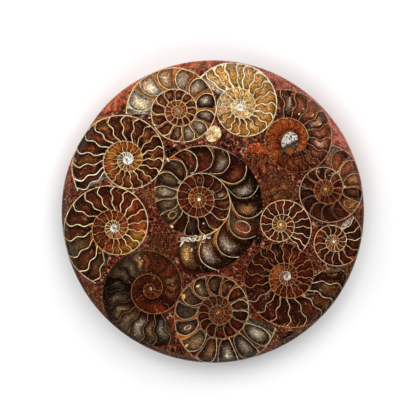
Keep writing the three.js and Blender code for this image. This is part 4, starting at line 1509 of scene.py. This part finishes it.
def slab():
    """The stone's body, from the polished face down: (points, faces)."""
    turn = np.linspace(0, 360, STONE_SIDES, endpoint=False)
    radius = rim_radius(turn)
    bend = [math.pi / 2 * step / ROUND_STEPS for step in range(ROUND_STEPS, -1, -1)]
    profile = [(RIM_ROUND * (1 - math.cos(angle)), THICKNESS - RIM_ROUND * (1 - math.sin(angle)))
               for angle in bend]
    profile += [(0.0, BACK_CHAMFER), (BACK_CHAMFER, 0.0)]
    rings = [np.column_stack([(radius - inset)[:, None] * circle(np.radians(turn)),
                              np.full(STONE_SIDES, height)]) for inset, height in profile]
    index = np.arange(STONE_SIDES)
    after = (index + 1) % STONE_SIDES
    faces = [index.tolist(), (index[::-1] + STONE_SIDES * (len(rings) - 1)).tolist()]
    for top in range(0, STONE_SIDES * (len(rings) - 1), STONE_SIDES):
        low = top + STONE_SIDES
        faces += np.stack([low + index, low + after, top + after, top + index], 1).tolist()
    return np.concatenate(rings), faces


# ---- operators -----------------------------------------------------------------------------


class FOSSIL_OT_stone(bpy.types.Operator):
    """Make the round slab of red-brown stone"""

    bl_idname = "fossil.stone"
    bl_label = "Stone"

    def execute(self, context):
        piece = place_piece("stone", *slab(), stone_finish(context.scene.fossil_stone), {})
        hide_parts("stone_matrix")
        return {"FINISHED"}


class FOSSIL_OT_ammonites(bpy.types.Operator):
    """Set the sawn ammonites in the face, with their chambers and walls"""

    bl_idname = "fossil.ammonites"
    bl_label = "Ammonites"

    def execute(self, context):
        settings = context.scene.fossil_shells
        covered = []
        for order, shell in enumerate(AMMONITES):
            proud = settings.proud / MM + LEVEL_STEP * (len(AMMONITES) - order)
            places = build_fillings(shell, settings, covered, proud)
            build_walls(shell, settings, covered, proud + LEVEL_STEP / 2, places)
            if shell["plug"]:
                build_plug(shell, settings, proud + LEVEL_STEP)
            if shell["name"] == CRUSTED:
                build_crust(settings, proud + LEVEL_STEP)
            covered.append(shell_cover(shell))
        return {"FINISHED"}


class FOSSIL_OT_fragments(bpy.types.Operator):
    """Set the broken bits of shell and stone in the face"""

    bl_idname = "fossil.fragments"
    bl_label = "Fragments"

    def execute(self, context):
        settings = context.scene.fossil_shells
        outlines = []
        for name, (rounds, tones, size, stretch, direction) in FRAGMENTS.items():
            outline = rounded(face_outline(name), rounds)
            outlines.append(outline)
            flat, faces = plaque(outline, FRAGMENT_CELL)
            body = close_skin(*seat(flat), faces, settings.proud / MM / 2, settings.skin / MM)
            material = fragment_finish(name, tones, size, stretch, direction, settings.gloss)
            piece = place_piece(name + "_polished", *body, material, {})
            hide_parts(name)
        build_chips(settings, outlines)
        return {"FINISHED"}


class FOSSIL_OT_stage(bpy.types.Operator):
    """Set up the camera, the floor and the studio lights"""

    bl_idname = "fossil.stage"
    bl_label = "Stage"

    def execute(self, context):
        scene = context.scene
        settings = scene.fossil_stage
        self.camera(scene, settings.lean, settings.lean_to)
        self.floor(scene, tuple(settings.floor))
        for name, place, size, part in LAMPS:
            self.lamp(scene, name, Vector(place), size, settings.light * part)
        scene.world = bpy.data.worlds.new("studio")
        scene.world.use_nodes = True
        self.sky(scene.world.node_tree)
        scene.view_settings.view_transform = "Standard"
        return {"FINISHED"}

    def camera(self, scene, lean, towards):
        lens = bpy.data.cameras.new("camera")
        lens.lens = CAMERA_LENS
        lens.clip_start = CLIP_START
        camera = bpy.data.objects.new("camera", lens)
        scene.collection.objects.link(camera)
        distance = VIEW_HALF_WIDTH * MM * lens.lens / (lens.sensor_width / 2)
        turn = Quaternion((-math.sin(towards), math.cos(towards), 0), lean)
        camera.location = Vector((*VIEW_CENTRE, THICKNESS)) * MM + turn @ Vector((0, 0, distance))
        camera.rotation_euler = turn.to_euler()
        scene.camera = camera

    def floor(self, scene, tone):
        mesh = bpy.data.meshes.new("floor")
        corners = [(FLOOR_HALF * x, FLOOR_HALF * y, 0) for x, y in ((-1, -1), (1, -1), (1, 1), (-1, 1))]
        mesh.from_pydata(corners, [], [(0, 1, 2, 3)])
        mesh.materials.append(floor_finish(tone))
        floor = bpy.data.objects.new("floor", mesh)
        scene.collection.objects.link(floor)

    def sky(self, tree):
        """White walls round the table, under a dark ceiling."""
        place = tree.nodes.new("ShaderNodeTexCoord")
        split = tree.nodes.new("ShaderNodeSeparateXYZ")
        share = tree.nodes.new("ShaderNodeMapRange")
        share.interpolation_type = "SMOOTHSTEP"
        for name, value in SKY_RANGE.items():
            share.inputs[name].default_value = value
        tree.links.new(place.outputs["Generated"], split.inputs[0])
        tree.links.new(split.outputs["Z"], share.inputs["Value"])
        tree.links.new(share.outputs[0], tree.nodes["Background"].inputs["Strength"])

    def lamp(self, scene, name, place, size, power):
        light = bpy.data.lights.new(name, "AREA")
        light.energy = power
        light.size = size
        lamp = bpy.data.objects.new(name, light)
        lamp.location = place
        lamp.rotation_euler = (-place).to_track_quat("-Z", "Y").to_euler()
        scene.collection.objects.link(lamp)


class FOSSIL_PT_panel(bpy.types.Panel):
    """Lists the plate's operators and settings"""

    bl_idname = "FOSSIL_PT_panel"
    bl_label = "Ammonite Plate"
    bl_space_type = "VIEW_3D"
    bl_region_type = "UI"
    bl_category = "Ammonite Plate"

    def draw(self, context):
        for operator in OPERATORS:
            self.layout.operator(operator.bl_idname)
        for name, group in SETTINGS.items():
            box = self.layout.box()
            for field in group.__annotations__:
                box.prop(getattr(context.scene, name), field)


SETTINGS = {
    "fossil_stone": FossilStoneSettings,
    "fossil_shells": FossilShellSettings,
    "fossil_stage": FossilStageSettings,
}
OPERATORS = (FOSSIL_OT_stage, FOSSIL_OT_stone, FOSSIL_OT_ammonites, FOSSIL_OT_fragments)
CLASSES = (*SETTINGS.values(), *OPERATORS, FOSSIL_PT_panel)


def register():
    for made in CLASSES:
        bpy.utils.register_class(made)
    for name, group in SETTINGS.items():
        setattr(bpy.types.Scene, name, bpy.props.PointerProperty(type=group))


def unregister():
    for name in SETTINGS:
        delattr(bpy.types.Scene, name)
    for made in reversed(CLASSES):
        bpy.utils.unregister_class(made)


def main():
    register()
    bpy.ops.fossil.stage()
    bpy.ops.fossil.stone()
    bpy.ops.fossil.ammonites()
    bpy.ops.fossil.fragments()


if __name__ == "__main__":
    main()
